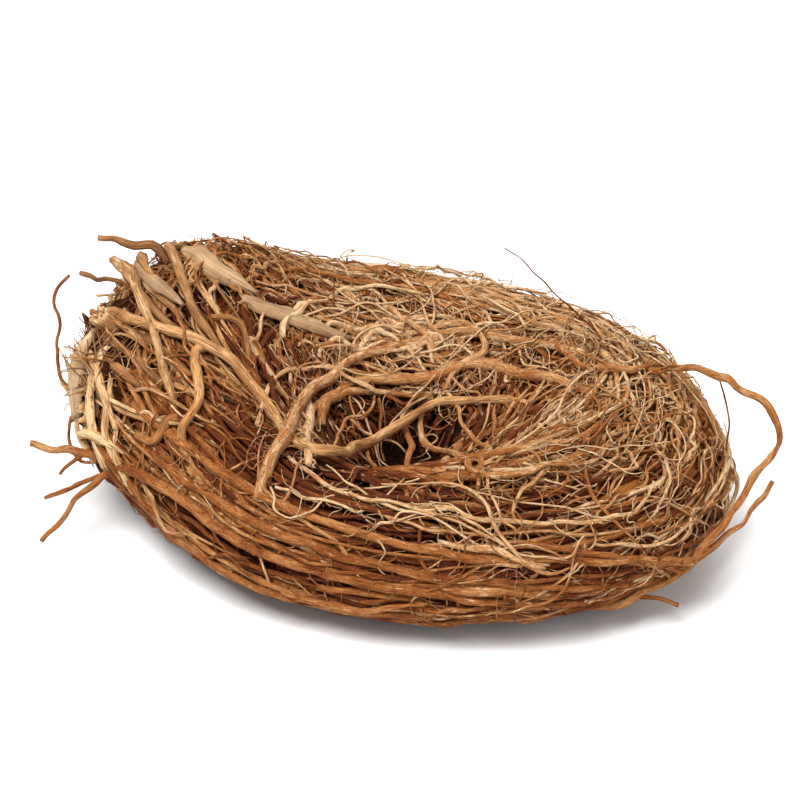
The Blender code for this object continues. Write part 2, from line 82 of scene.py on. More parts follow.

# Rows of roots laid in locks, and how many roots each lock has. In degrees: the bearing where they start,
# their sweep round the nest, their fold, the drift over it and the spread of a lock's folds. In mm: lift
# and radius. Tint is a middle and a scatter, and points and sides are those of each root. The middles are
# partly the roots' own tone and partly painted shade: lower for the front and hollow rows, higher for the
# rim and back rows. Lighter makes a root lighter toward its end, as painted shade where it starts deep in
# the hollow.
ROW_GROUPS = {
    "front_rows": dict(
        locks=58, roots=4, start=(176, 268), sweep=(50, 120), fold=(-52, 78), drift=(-40, 10),
        lift=(-2.4, 1.0), radius=(0.35, 1.1), spread=8.0, tint=(0.31, 0.2), pale=0.3, points=44, sides=5),
    "back_rows": dict(
        locks=30, roots=5, start=(110, 185), sweep=(-150, -80), fold=(-60, 92), drift=(-14, 14),
        lift=(-1.9, 0.7), radius=(0.4, 1.05), spread=6.0, tint=(0.68, 0.2), pale=0.3, points=30, sides=5),
    "rim_rows": dict(
        locks=42, roots=5, start=(60, 176), sweep=(-85, -30), fold=(58, 128), drift=(-16, 20),
        lift=(-2.0, 1.1), radius=(0.3, 0.8), spread=7.0, tint=(0.84, 0.2), pale=0.4, points=40, sides=5),
    "end_turns": dict(
        locks=52, roots=5, start=(-66, 24), sweep=(24, 64), fold=(-58, 100), drift=(-8, 38),
        lift=(-2.4, 0.5), radius=(0.25, 0.75), spread=6.0, tint=(0.8, 0.14), pale=0.25, points=30, sides=5),
    "end_curls": dict(
        locks=80, roots=3, start=(-50, 44), sweep=(-22, 22), fold=(-40, 118), drift=(-44, 44),
        lift=(-2.4, 0.8), radius=(0.2, 0.45), spread=9.0, tint=(0.78, 0.14), pale=0.2, points=20, sides=5),
    "sheaf": dict(
        locks=28, roots=3, start=(250, 318), sweep=(36, 80), fold=(128, 152), drift=(-78, -34),
        lift=(-2.4, 1.5), radius=(0.45, 1.2), spread=7.0, tint=(0.56, 0.24), pale=0.35, points=42, sides=5,
        lighter=0.5),
    "slope_rows": dict(
        locks=24, roots=3, start=(292, 392), sweep=(16, 52), fold=(122, 172), drift=(-52, -12),
        lift=(-2.8, 0.6), radius=(0.35, 0.95), spread=7.0, tint=(0.42, 0.22), pale=0.3, points=34, sides=5,
        lighter=0.4),
    "hollow_rows": dict(
        locks=20, roots=4, start=(60, 250), sweep=(-90, 90), fold=(112, 156), drift=(-14, 14),
        lift=(-3.6, 0.2), radius=(0.3, 0.85), spread=7.0, tint=(0.36, 0.2), pale=0.25, points=38, sides=5),
    "crown_back": dict(
        locks=30, roots=4, start=(158, 204), sweep=(-62, -22), fold=(-58, 66), drift=(-12, 24),
        lift=(-2.2, 0.6), radius=(0.35, 1.0), spread=7.0, tint=(0.5, 0.2), pale=0.3, points=24, sides=5),
    "felt": dict(
        locks=34, roots=5, start=(150, 196), sweep=(-44, 10), fold=(116, 152), drift=(-22, 22),
        lift=(-3.0, -0.4), radius=(0.08, 0.2), spread=9.0, tint=(0.95, 0.16), pale=0.15, points=20,
        sides=3),
    "crown_side": dict(
        locks=28, roots=4, start=(146, 214), sweep=(24, 76), fold=(52, 130), drift=(-10, 26),
        lift=(-2.6, 1.0), radius=(0.3, 0.95), spread=7.0, tint=(0.3, 0.2), pale=0.3, points=40, sides=5),
    "top_tuft": dict(
        locks=20, roots=3, start=(144, 168), sweep=(-14, 12), fold=(60, 100), drift=(-16, 16),
        lift=(0.0, 2.8), radius=(0.25, 0.6), spread=8.0, tint=(0.32, 0.2), pale=0.3, points=24, sides=5),
    "loose_low": dict(
        locks=26, roots=1, start=(192, 312), sweep=(8, 34), fold=(-62, 4), drift=(-26, 16), lift=(0.0, 2.4),
        radius=(0.3, 0.8), spread=6.0, tint=(0.34, 0.2), pale=0.3, points=36, sides=6),
    "foot_rows": dict(
        locks=16, roots=5, start=(0, 360), sweep=(60, 120), fold=(-150, -62), drift=(-12, 12),
        lift=(-0.9, 0.3), radius=(0.5, 1.1), spread=5.0, tint=(0.3, 0.15), pale=0.2, points=20, sides=5),
    "loose_top": dict(
        locks=80, roots=1, start=(-20, 168), sweep=(-34, 34), fold=(56, 106), drift=(-34, 34),
        lift=(0.6, 3.0), radius=(0.12, 0.3), spread=8.0, tint=(0.6, 0.2), pale=0.35, points=26, sides=4),
}

# Roots followed one by one: radius in mm, tint, paleness, then (bearing, fold, lift) along each
OVER_ROOTS = {
    "bowed": (1.4, 0.64, 0.85, [
        (256, 45, 1.4), (255, 57, 1.8), (253, 74, 2.4), (251, 93, 3.8), (236, 120, 4.4), (202, 140, 4.4),
        (170, 144, 4.2), (148, 142, 3.6), (134, 137, 2.8), (124, 133, 2.2), (110, 128, 1.8),
        (100, 123, 1.6), (86, 117, 1.4), (74, 113, 1.4), (56, 110, 1.0), (40, 104, 0.8), (26, 97, 0.2)]),
    "orange_bow": (1.3, 0.62, 0.45, [
        (196, 147, 0.2), (168, 146, 1.2), (148, 145, 1.5), (136, 142, 1.6), (120, 139, 1.6),
        (102, 137, 1.6), (86, 135, 1.6), (76, 131, 1.6), (66, 126, 1.4), (50, 122, 1.2), (36, 120, 1.2),
        (22, 113, 0.9), (12, 106, 0.8), (2, 94, 0.0)]),
    "riser": (1.15, 0.6, 0.6, [
        (258, 92, 0.0), (250, 104, 0.8), (232, 122, 1.2), (208, 139, 1.6), (186, 145, 1.8), (158, 146, 1.8),
        (134, 145, 1.8), (114, 143, 1.6), (94, 141, 1.0), (80, 138, 0.2)]),
    "loop": (0.75, 0.7, 0.7, [
        (112, 127, 0.2), (100, 121, 1.4), (92, 117, 2.0), (84, 114, 2.2), (76, 113, 2.4), (69, 115, 2.6),
        (64, 119, 2.6), (63, 123, 2.6), (67, 127, 2.4), (71, 132, 2.0), (72, 138, 0.8)]),
    "hollow_edge": (0.8, 0.6, 0.8, [
        (82, 146, 0.2), (78, 152, 1.0), (68, 158, 1.8), (44, 161, 2.6), (6, 155, 3.4), (330, 136, 3.6),
        (308, 108, 3.0), (303, 92, 2.2), (306, 82, 1.6), (314, 76, 1.6), (320, 79, 1.6), (326, 75, 1.6),
        (334, 74, 1.2), (342, 78, 0.6)]),
    "dropping": (0.62, 0.66, 0.8, [
        (72, 138, 1.6), (64, 141, 1.8), (54, 144, 2.2), (40, 148, 2.6), (6, 146, 3.2), (326, 122, 3.2),
        (309, 99, 2.8), (305, 88, 2.0), (302, 76, 0.6)]),
    "pale_thin": (0.5, 0.8, 0.9, [
        (240, 86, 0.4), (230, 104, 1.6), (212, 122, 2.4), (188, 133, 2.8), (166, 138, 2.8), (150, 139, 3.0),
        (138, 143, 3.0), (122, 145, 3.0), (104, 143, 3.2), (90, 142, 3.2), (76, 141, 2.6), (66, 140, 1.2)]),
    "sheaf_top": (1.2, 0.5, 0.4, [
        (296, 104, -1.0), (306, 90, 0.8), (316, 88, 1.4), (326, 88, 1.4), (336, 84, 1.2), (346, 82, 0.2)]),
    "sheaf_low": (1.1, 0.5, 0.4, [
        (286, 112, -1.2), (300, 88, 0.6), (308, 82, 1.2), (318, 78, 1.2), (328, 76, 1.0), (340, 72, 0.0)]),
    "pale_front": (0.5, 0.86, 0.9, [
        (250, 84, -0.4), (264, 74, 0.8), (276, 69, 1.4), (287, 66, 1.6), (292, 65, 1.6), (298, 56, 1.6),
        (305, 52, 1.6), (313, 46, 1.6), (319, 42, 1.8), (324, 41, 2.0), (328, 39, 2.2), (332, 42, 2.6),
        (336, 47, 3.2)]),
    "second_front": (0.4, 0.7, 0.7, [
        (268, 62, -0.2), (280, 58, 1.0), (290, 50, 1.2), (298, 46, 1.4), (308, 44, 1.4), (316, 36, 1.4),
        (326, 30, 1.2), (336, 30, 0.2)]),
    "right_low": (0.9, 0.45, 0.3, [
        (300, 40, 0.0), (312, 32, 1.2), (318, 23, 1.6), (324, 14, 2.2), (330, 4, 3.2), (334, -6, 4.4)]),
    "right_thin": (0.42, 0.85, 0.9, [
        (318, 30, 0.4), (324, 25, 1.2), (327, 20, 1.6), (333, 17, 2.0), (338, 18, 2.6)]),
    "right_top": (1.1, 0.55, 0.5, [
        (44, 100, -0.4), (30, 102, 0.8), (18, 99, 1.2), (13, 88, 1.4), (14, 78, 1.4), (19, 70, 1.2),
        (26, 60, 0.4)]),
    "front_band": (1.25, 0.45, 0.35, [
        (200, 24, -0.4), (210, 14, 0.8), (219, 9, 1.2), (228, 18, 1.4), (238, 23, 1.4), (250, 21, 1.4),
        (262, 18, 1.4), (276, 13, 1.4), (290, 7, 1.2), (304, -4, 1.0), (316, -14, 0.2)]),
    "front_rim": (1.15, 0.5, 0.4, [
        (214, 38, -0.4), (224, 44, 0.8), (238, 48, 1.2), (254, 50, 1.4), (270, 46, 1.4), (286, 38, 1.2),
        (300, 30, 1.2), (312, 25, 1.4), (322, 16, 2.0), (330, 6, 3.4), (336, -4, 5.0)]),
    "front_long": (1.1, 0.42, 0.35, [
        (222, 30, 0.2), (236, 33, 1.2), (252, 34, 1.3), (268, 30, 1.3), (284, 24, 1.2), (298, 15, 1.0),
        (312, 6, 0.8), (324, -2, 0.0)]),
    "low_edge": (1.05, 0.48, 0.35, [
        (216, 12, 0.0), (228, 2, 1.0), (242, -9, 1.8), (256, -15, 2.2), (270, -15, 2.2), (284, -18, 1.8),
        (298, -24, 0.4)]),
    "low_dip": (0.9, 0.4, 0.2, [
        (262, -6, 0.2), (274, -20, 2.0), (286, -30, 2.6), (298, -32, 2.6), (310, -26, 2.0),
        (322, -18, 0.6)]),
    "top_edge": (0.65, 0.5, 0.4, [
        (146, 98, -0.6), (136, 97, 0.8), (126, 97, 1.4), (118, 100, 1.6), (108, 98, 1.5), (100, 97, 1.4),
        (92, 96, 1.2), (82, 98, 0.2)]),
    "pale_hook": (0.3, 0.95, 1.0, [
        (255, 66, 0.8), (256.5, 61, 1.6), (259.5, 53.5, 2.2), (261, 46, 2.4), (264, 43, 2.4),
        (265.5, 46, 2.4), (267, 50.5, 2.2), (268.5, 59.5, 2.0), (270, 65.5, 0.8)]),
    "zigzag": (0.26, 1.0, 1.0, [
        (277.5, 46, 1.0), (279, 49, 1.8), (280.5, 53.5, 2.0), (282, 53.5, 2.0), (285, 55, 2.0),
        (288, 59.5, 2.0), (289.5, 58, 1.0)]),
    "peeled": (0.65, 0.82, 0.7, [
        (291, 43, 0.4), (294, 40, 1.6), (297, 38.5, 2.0), (300, 37, 2.0), (303, 31, 2.0), (306, 26.5, 1.8),
        (308, 22, 0.6)]),
    "peeled_low": (0.45, 0.85, 0.8, [
        (298, 28, 0.6), (300, 26.5, 1.6), (303, 25, 1.8), (306, 23.5, 1.8), (308.5, 22, 0.6)]),
    "down_thin": (0.3, 0.75, 0.7, [
        (306, 85, 0.8), (304.5, 77.5, 2.0), (303, 67, 2.4), (303, 58, 2.4), (303, 50.5, 2.2),
        (304.5, 46, 2.0), (304.5, 43, 0.8)]),
    "down_curve": (0.42, 0.7, 0.5, [
        (319.5, 77.5, 0.8), (318, 76, 2.0), (313.5, 71, 2.4), (310.5, 69, 2.4), (307.5, 62.5, 2.4),
        (306, 56.5, 2.2), (306, 50.5, 0.8)]),
    # The hanging root has the highest tint and paleness: painted light, as it lies in shadow
    "hanging": (1.05, 1.0, 1.0, [
        (184, 140, 1.6), (198, 142, 2.4), (219, 137, 2.8), (243, 120, 2.8), (258, 96, 2.4),
        (262, 82, 1.8)]),
}

# Roots and ends that stand clear or hang in the hollow: radius in mm, tint, paleness, then points in mm
STRAY_ROOTS = {
    "left_hook": (0.52, 0.42, 0.3, [
        (-62, -9, 12), (-70, -7.4, 15.4), (-75, -6.5, 18.6), (-78.4, -6, 21.2), (-80.8, -5.4, 23.4),
        (-82.2, -4.4, 26), (-83.6, -3, 29), (-84, -1.6, 31.6), (-83.4, -0.2, 33.6), (-84, 0.8, 35.2),
        (-85.4, 1.6, 37.4), (-85.2, 3, 40), (-84.3, 4.7, 42.2), (-83, 6, 44)]),
    "left_low": (0.85, 0.58, 0.35, [
        (-44, -20, 17), (-54, -24, 19), (-60, -27, 19), (-64, -29, 18.6), (-68, -30, 20), (-72, -31, 20),
        (-76, -32, 21)]),
    "left_fork": (0.5, 0.4, 0.3, [(-62, -26, 21), (-64, -28, 19.5), (-67, -31, 18), (-69.5, -32.5, 16)]),
    "left_down": (0.8, 0.5, 0.35, [
        (-40, -24, 18), (-50, -27, 18), (-57, -31, 17), (-60, -33, 15), (-63, -35, 13), (-66, -38, 9),
        (-68, -41, 6), (-70, -43, 3.4)]),
    "down_fork": (0.55, 0.4, 0.3, [
        (-60, -32, 15.4), (-64, -34.5, 14), (-67, -36.5, 13), (-69.5, -38.5, 12.2)]),
    "left_bow": (0.42, 0.4, 0.3, [
        (-61, -24, 14), (-67, -24, 13.6), (-70.5, -23, 16), (-71.5, -21, 19.5), (-71, -19, 23),
        (-69, -17, 26)]),
    "tail": (0.6, 0.75, 0.6, [
        (-48, -32, 24), (-44, -39, 22), (-40, -44.5, 19), (-37, -46, 15.5), (-31, -46.6, 13),
        (-27, -47, 11)]),
    # The right loop's tint is raised as painted light, standing for the bright light round the clump's edge
    "right_loop": (0.95, 0.56, 0.4, [
        (6, -49, 15), (22, -48.6, 11.5), (36, -45, 7.6), (46, -40, 6), (55, -34, 6.2), (62, -29, 7.2),
        (67, -25.6, 9), (71, -22, 11.4), (74, -19, 14.6), (78, -15, 20.6), (81.4, -11, 25.4),
        (84.4, -7, 30.6), (85.8, -4, 34.4), (86, -1.6, 38), (84.4, 0.6, 41), (81, 1.4, 42.4), (77.6, 2, 44),
        (74, 3, 46), (69.6, 4, 46.6), (64, 7, 44.4), (56, 10, 41)]),
    "right_second": (0.75, 0.52, 0.35, [
        (48, -38, 8), (60, -31, 9.4), (68, -25, 10.6), (72, -21.6, 12.4), (75.4, -19.4, 14.6),
        (78.6, -16, 18.4), (81.4, -13.4, 21), (84, -10.6, 24.4), (87, -6.4, 29)]),
    "right_end": (0.7, 0.4, 0.2, [
        (44, -36, 12), (54, -32, 10.6), (62, -29, 9), (68, -26, 7.4), (72, -24.6, 6)]),
    "hollow_stem": (0.65, 0.5, 0.35, [
        (2.3, -0.5, 21.8), (5.1, -7.7, 22.7), (7.2, -14.9, 23.6), (9.4, -22.4, 24.3), (12.3, -28.6, 26.6),
        (15, -34.9, 28.9), (17.8, -42.4, 29.2)]),
    "hollow_strand": (0.5, 0.5, 0.3, [
        (-2.3, -13.2, 22.4), (1.5, -20.2, 23.6), (4.9, -26.9, 25.3), (7, -33.9, 27.2), (9.5, -40.7, 29.3)]),
    "hollow_thin": (0.3, 0.85, 0.8, [
        (-7, -9.6, 28.6), (-5.6, -9.4, 26.9), (-4.3, -9.2, 25.2), (-1.3, -8.5, 23.3), (1.7, -7.4, 22.1),
        (3, -6.9, 20.8), (3.8, -6.7, 19.3)]),
    "hollow_twig": (0.38, 0.6, 0.5, [
        (-4.1, -2.8, 29), (-4.5, -8.5, 29.7), (-6.3, -14.2, 31), (-6.5, -20.4, 30.7), (-5.6, -25.6, 31.5),
        (-4.4, -30.7, 32.2)]),
    "hollow_brown": (0.45, 0.35, 0.3, [
        (-4.3, 0.6, 28.4), (-3, -2.4, 26.6), (-2.5, -5.3, 25.2), (-1.4, -8.1, 23.8)]),
    "right_hair": (0.2, 0.3, 0.2, [
        (58, 10, 42), (64, 9, 44.6), (70, 8, 43), (73, 7, 39), (74.6, 5, 34.6), (74.8, 2, 30), (74, -1, 26),
        (73, -4, 23)]),
    "top_hair": (0.2, 0.15, 0.1, [
        (46, 17, 40), (40, 19, 45), (35, 20, 48.4), (31, 20, 51), (28, 20.8, 53.6), (24, 21, 56),
        (20.6, 21, 58.4), (18, 21, 60.2)]),
}

# Thick pale roots of the crown: radius in mm, tint, paleness, then (bearing, fold, lift) along each
CROWN_ROOTS = {
    "long": (1.2, 0.72, 0.4, [
        (186, 42, 1.0), (193, 53, 2.4), (199, 62, 2.6), (205, 75, 2.4), (208, 86, 2.3), (211, 93, 2.2),
        (214, 100, 2.2), (220, 103, 2.0), (228, 103, 1.6), (240, 101, 1.3), (250, 97, 1.6), (259, 97, 3.0),
        (264, 108, 4.6), (262, 132, 6.0), (238, 158, 7.0), (186, 170, 7.4), (108, 164, 6.2), (85, 155, 5.0),
        (74, 148, 3.8), (66, 144, 3.0), (52, 140, 2.6), (40, 136, 2.2), (29, 130, 1.6), (20, 124, 0.4),
        (14, 119, -1.6)]),
    "steep": (1.12, 0.7, 0.7, [
        (173, 50, 6.4), (176, 54, 4.8), (181, 61, 3.8), (187, 67, 3.2), (195, 71, 3.0), (204, 71, 2.8),
        (211, 69, 2.4), (217, 66, 1.8), (223, 61, 0.8), (226, 55, -0.4)]),
    "over": (1.1, 0.6, 0.7, [
        (160, 66, 1.0), (168, 72, 3.0), (174, 80, 3.6), (182, 86, 3.6), (190, 90, 3.4), (197, 92, 3.2),
        (204, 95, 3.0), (212, 98, 1.8)]),
    "second": (1.0, 0.56, 0.8, [
        (170, 56, 3.0), (175, 60, 3.4), (184, 66, 3.4), (192, 69, 3.0), (200, 74, 2.4), (206, 80, 1.2)]),
    "third": (0.9, 0.66, 0.7, [
        (174, 60, 3.4), (181, 68, 3.6), (188, 74, 3.4), (194, 81, 2.8), (199, 87, 1.6)]),
    "inner": (0.75, 0.5, 0.3, [
        (198, 95, 0.4), (195, 103, 1.6), (191, 109, 2.2), (189, 114, 2.4), (192, 116, 2.4), (198, 117, 2.4),
        (207, 116, 2.2), (216, 114, 1.8), (222, 112, 0.4)]),
    "low": (1.0, 0.56, 0.6, [
        (184, 26, 1.2), (190, 38, 2.0), (198, 47, 2.2), (206, 54, 2.2), (214, 59, 1.6), (222, 62, 0.4)]),
    "lower": (0.95, 0.5, 0.4, [
        (188, 20, 1.2), (195, 32, 2.0), (203, 42, 2.0), (212, 50, 1.8), (222, 54, 0.6)]),
    "drop": (1.25, 0.74, 0.15, [
        (211, 91, 0.6), (214, 86, 2.2), (217, 83, 2.4), (223, 79, 2.6), (228, 72, 2.6), (231, 62, 2.4),
        (232, 53, 1.8), (234, 45, 0.6)]),
    "hook": (1.2, 0.52, 0.0, [
        (228, 56, 1.0), (228, 51, 2.0), (229, 45, 2.4), (229, 38, 2.4), (227, 34, 2.0), (223, 30, 0.6)]),
    "cut_end": (1.05, 0.74, 0.9, [(186, 70, 2.4), (180, 60, 4.2), (176, 53, 5.4), (173, 47, 6.6)]),
    "cut_short": (0.9, 0.6, 0.5, [(196, 84, 2.4), (188, 76, 4.4), (182, 70, 5.6)]),
    "cut_low": (0.95, 0.5, 0.5, [(206, 66, 1.2), (198, 56, 2.8), (190, 44, 4.2)]),
}

# Loose ends of the crown that stand clear: radius in mm, tint, paleness, then points in mm
CROWN_ENDS = {
    "top": (0.85, 0.44, 0.5, [
        (-44, 8, 44), (-50, 7, 48.4), (-55.4, 6.4, 51.6), (-59.4, 6.2, 54), (-62.2, 6, 55.4),
        (-65.6, 5.4, 56.2), (-68.8, 5, 57.2), (-72.3, 4.5, 57.6)]),
    "left": (0.75, 0.42, 0.5, [
        (-54, -1, 41), (-59, -0.8, 45), (-63.3, -1, 48), (-65.9, -1, 49.4), (-68.9, -1.5, 50),
        (-71, -2.3, 49.6), (-73.4, -2.4, 50.7), (-75.4, -3, 50.8)]),
}

# Thinner pale roots that fan out of the crown
CROWN_ROWS = dict(
    locks=22, roots=3, start=(160, 200), sweep=(18, 52), fold=(16, 92), drift=(6, 40), lift=(-2.0, 1.8),
    radius=(0.35, 0.9), spread=9.0, tint=(0.42, 0.16), pale=0.5, points=34, sides=6)

# The crown's rootstock, the heights between which its soil begins, and its cut stem bases: foot, direction,
# length and radius in mm
CROWN_CENTRE, CROWN_HALF = np.array((-59, -6, 30)), np.array((12.0, 19.0, 16.5))
SOIL_TOP, SOIL_FULL = 34, 22
STEM_BASES = {
    "low": ((-60, -18, 27), (-0.74, -0.66, -0.12), 9.6, 3.5),
    "front": ((-62, -14, 34), (-0.88, -0.46, 0.14), 9.8, 3.3),
    "middle": ((-64, -4, 36), (-0.97, -0.10, 0.22), 8.4, 3.7),
    "back": ((-62, 6, 38), (-0.86, 0.34, 0.38), 9.0, 3.1),
    "upper": ((-60, 0, 44), (-0.72, 0.05, 0.70), 7.4, 2.9),
    "side": ((-61, -12, 42), (-0.62, -0.34, 0.71), 7.0, 2.5),
    "foot": ((-63, -4, 24), (-0.94, -0.22, -0.26), 9.0, 3.1),
}

# A stem base's rings, from its foot to the pit in its cut end: share of length, share of radius, tint
STEM_PROFILE = [(0.0, 1.0, 0.5), (0.3, 0.97, 0.5), (0.6, 0.94, 0.52), (0.85, 0.95, 0.6), (0.97, 0.96, 0.8),
                (1.0, 0.9, 0.95), (0.99, 0.66, 0.9), (0.9, 0.6, 0.5), (0.72, 0.5, 0.25), (0.7, 0.12, 0.1)]
STEM_SIDES = 28

# Broad shreds of leaf base down the crown's end: width in mm, tint, then (bearing, fold, lift) along each
LEAF_BASES = [
    (4.4, 1.02, [(216, 0, 1.2), (212, 14, 2.4), (208, 25, 2.8), (205, 35, 1.8)]),
    (3.2, 0.86, [(222, 8, 1.2), (217, 18, 2.2), (214, 31, 2.6), (208, 41, 1.6)]),
    (3.6, 1.04, [(210, -10, 1.6), (206, 4, 2.8), (205, 15, 2.2)]),
    (3.6, 1.0, [(212, 18, 2.6), (207, 31, 3.4), (203, 42, 2.8), (201, 51, 1.6)]),
    (2.6, 0.8, [(226, 0, 0.8), (221, 14, 2.0), (217, 29, 1.4)]),
    (2.6, 0.84, [(218, 26, 1.8), (212, 34, 3.2), (203, 38, 3.6), (196, 36, 2.6)]),
    (2.4, 0.9, [(206, -2, 2.4), (210, 8, 3.4), (217, 16, 2.8), (224, 20, 1.4)]),
]

# Dry leaf sheaths: width in mm, tint, which way the face is turned, then (bearing, fold, lift) along each
SHEATHS = {
    "sheath_upper": (5.4, 0.6, (0.3, -0.9, 0.5), [
        (167, 76, 1.9), (172, 88, 2.6), (175, 97, 2.8), (172, 105, 2.4), (167, 111, 1.8)]),
    "sheath_back": (4.6, 0.58, (0.2, -1.0, 0.5), [
        (176, 111, 2.2), (168, 118, 2.6), (153, 123, 2.4), (137, 125, 1.8), (126, 125, 1.2)]),
    "sheath_crown": (3.2, 0.5, (0, -0.4, 0.2), [
        (182, 68, 4.6), (189, 76, 4.6), (194, 83, 4.4), (199, 89, 4.0)]),
    "sheath_left": (4.8, 0.8, (0.2, -0.7, 0), [
        (206, 12, 3.6), (203, 24, 4.4), (200, 35, 4.6), (197, 44, 4.0)]),
}

# Finer roots that grow from the laid ones: sizes in mm, and how far they stray and curl in degrees
BRANCH = dict(radius=(0.2, 0.45), length=(18, 46), points=24, sides=5, stray=24, curl=12, rise=(0.0, 1.2),
              kink=1.1, spacing=4.0, lighter=0.04, pale=0.35)
ROOTLET = dict(radius=(0.1, 0.24), length=(7, 20), points=17, sides=3, stray=38, curl=24, rise=(0.1, 1.6),
               kink=1.05, spacing=2.4, lighter=0.06, pale=0.3)
HAIR = dict(radius=(0.05, 0.1), length=(3, 10), points=10, sides=3, stray=70, curl=30, rise=(0.2, 1.8),
            kink=0.8, spacing=1.6, lighter=0.1, pale=0.4)
STUB = dict(radius=(0.12, 0.26), length=(0.8, 2.8), points=4, sides=3, stray=60, curl=20, rise=(0.5, 1.7),
            kink=0.3, spacing=2.0, lighter=0.0, pale=0.3)

# How many branches there are, and how many torn fibres and short husks the crown has
BRANCHES, FIBRES, HUSKS = 210, 900, 60

# Where finer roots grow: seldom from buried roots or under the nest, and less on its wall and in the hollow
BURIED_LIFT, UNDER_FOLD, BURIED_WEIGHT = -1.4, -70, 0.05
WALL_FOLD, WALL_WEIGHT = 60, 0.45
DEEP_FOLD, DEEP_WEIGHT = 142, 0.5
HIGHEST_LIFT = 4.6

# How many times as often they grow from a root that crosses over the others, and from one of the crown's
CROSSING_WEIGHT, CROWN_WEIGHT = 14, 2

# Each step's own place in the random numbers
CORE_DICE, ROWS_DICE, CROSSING_DICE, CROWN_DICE, SHEATHS_DICE, FINE_DICE = 1, 10, 30, 40, 50, 60

# How roots of one lock differ at their start, in degrees, and how much more common the thin ones are
START_SCATTER, DRIFT_SCATTER, THIN_FAVOUR = 14, 5, 1.7

# How much lighter a laid root is for each mm of lift, and darker for each degree under the waist, as
# painted shade on the deeper and lower roots
LIFT_SHADE, FOOT_SHADE = 0.2, 0.004

# How a laid root swings on its way: by how many degrees or mm, and how many times
BEARING_SWING = (1.6, 5)
LOCK_SWING, FOLD_SWING, FOLD_QUIVER = (4.5, 2.5), (4.0, 3.5), (1.8, 9)
LIFT_SWING, LIFT_QUIVER = (0.8, 3), (0.5, 9)

# How far round the wall the packed inside goes, in degrees, and in mm how deep it lies under the roots, how
# much deeper it lies in the hollow, and how high its ridges are
CORE_FOLD, CORE_DEPTH, HOLLOW_DEPTH, CORE_RIDGE = 176, 2.7, 3.6, 0.8

# How many rings of points the packed inside and the rootstock have, and how many points each ring has
CORE_POINTS, STOCK_POINTS = (80, 120), (60, 84)

# Over what share of a laid root each end dips between the others, how deep in mm, and how many roots do so
END_SHARE, END_DIP, DIPPING_SHARE = 0.1, 2.2, 0.8

# How strong a strand's slow and sharp bends are, how much wider apart the slow ones are, and the space in
# mm between the sharp ones of a laid root
SLOW_BEND, SHARP_BEND, SLOW_SPACING, ROW_SPACING = 1.5, 1.2, 2.6, 7.0

# By what share a strand swells and how knobbly it is, and over how many of its points
SWELL, SWELL_POINTS, KNOB, KNOB_POINTS = 0.16, 6, 0.14, 2.2

# For roots followed one by one: the space in mm between points, the least and most points, the space
# between sharp bends for thin and other roots, and the radii up to which a root is thin or medium
POINT_SPACING, POINT_LIMITS = 1.1, (24, 150)
THIN_SPACING, USUAL_SPACING = 4.0, 6.0
THIN_ROOT, MEDIUM_ROOT = 0.55, 0.9


def ramp(values, start, end):
    """0 up to the start and 1 from the end on, with a straight rise or fall between them."""
    return np.clip((values - start) / (end - start), 0, 1)


def near_bearing(bearing, centre, spread):
    """1 at a bearing, and less and less on both sides of it."""
    away = (bearing - centre + 180) % 360 - 180
    return np.exp(-((away / spread) ** 2))


def nest_points(bearing, fold, lift):
    """Points of the nest, in mm, for arrays of bearings and folds in degrees and lifts in mm."""
    bearing, fold, lift = np.broadcast_arrays(np.asarray(bearing, float), fold, lift)
    east, north = np.cos(np.radians(bearing)), np.sin(np.radians(bearing))
    plan = 1 - CUT_CORNER * near_bearing(bearing, CUT_BEARING, CUT_SPREAD)
    along, across = HALF_LENGTH * plan + lift, HALF_WIDTH * plan + lift
    top = RIM_HEIGHT + CROWN_RISE * np.maximum(0, -east) ** 2 + BACK_RISE * north + lift
    top = top - BACK_DIP * np.maximum(0, north) ** 2
    top = top - CREASE * near_bearing(bearing, CREASE_BEARING, CREASE_SPREAD) * ramp(fold, 135, 90)
    waist = WAIST_SHARE * top
    turn = np.radians(np.clip(fold, -90, 90))
    under = FOOT_SHARE * ramp(fold, -180, -90)
    lower = 1 - (1 - FOOT_SHARE) * (1 - np.cos(turn))
    upper = RIM_SHARE + (1 - RIM_SHARE) * np.cos(turn)
    share = np.where(fold <= -90, under, np.where(fold <= 0, lower, upper))
    rise = np.where(fold <= 0, waist * (1 + np.sin(turn)), waist + (top - waist) * np.sin(turn))
    inward = ramp(fold, 90, 180)
    sink = inward * inward * (3 - 2 * inward)
    x = along * share * east * (1 - inward) + HOLLOW[0] * inward
    y = across * share * north * (1 - inward) + HOLLOW[1] * inward
    z = rise * (1 - sink) + (HOLLOW[2] + lift) * sink
    return np.stack([x, y, np.where(fold <= -90, -lift, z)], axis=-1)


def length_of(vectors):
    return np.sqrt((vectors ** 2).sum(-1, keepdims=True))


def unit(vectors):
    return vectors / np.maximum(length_of(vectors), 1e-9)


def spline(a, b, c, d, t):
    """A Catmull-Rom curve's place between b and c, with a before them and d after."""
    return 0.5 * (2 * b + (c - a) * t + (2 * a - 5 * b + 4 * c - d) * t ** 2
                  + (3 * b - a - 3 * c + d) * t ** 3)


def wander(dice, rows, points, swings):
    """Smooth random values, about -1 to 1, that swing about that many times along each row."""
    knots = dice.normal(0, 0.6, size=(rows, int(math.ceil(swings)) + 5))
    place = 1 + dice.uniform(0, 1, size=(rows, 1)) + np.linspace(0, swings, points)[None]
    index = place.astype(int)
    row = np.arange(rows)[:, None]
    return spline(*(knots[row, index + step] for step in (-1, 0, 1, 2)), place - index)


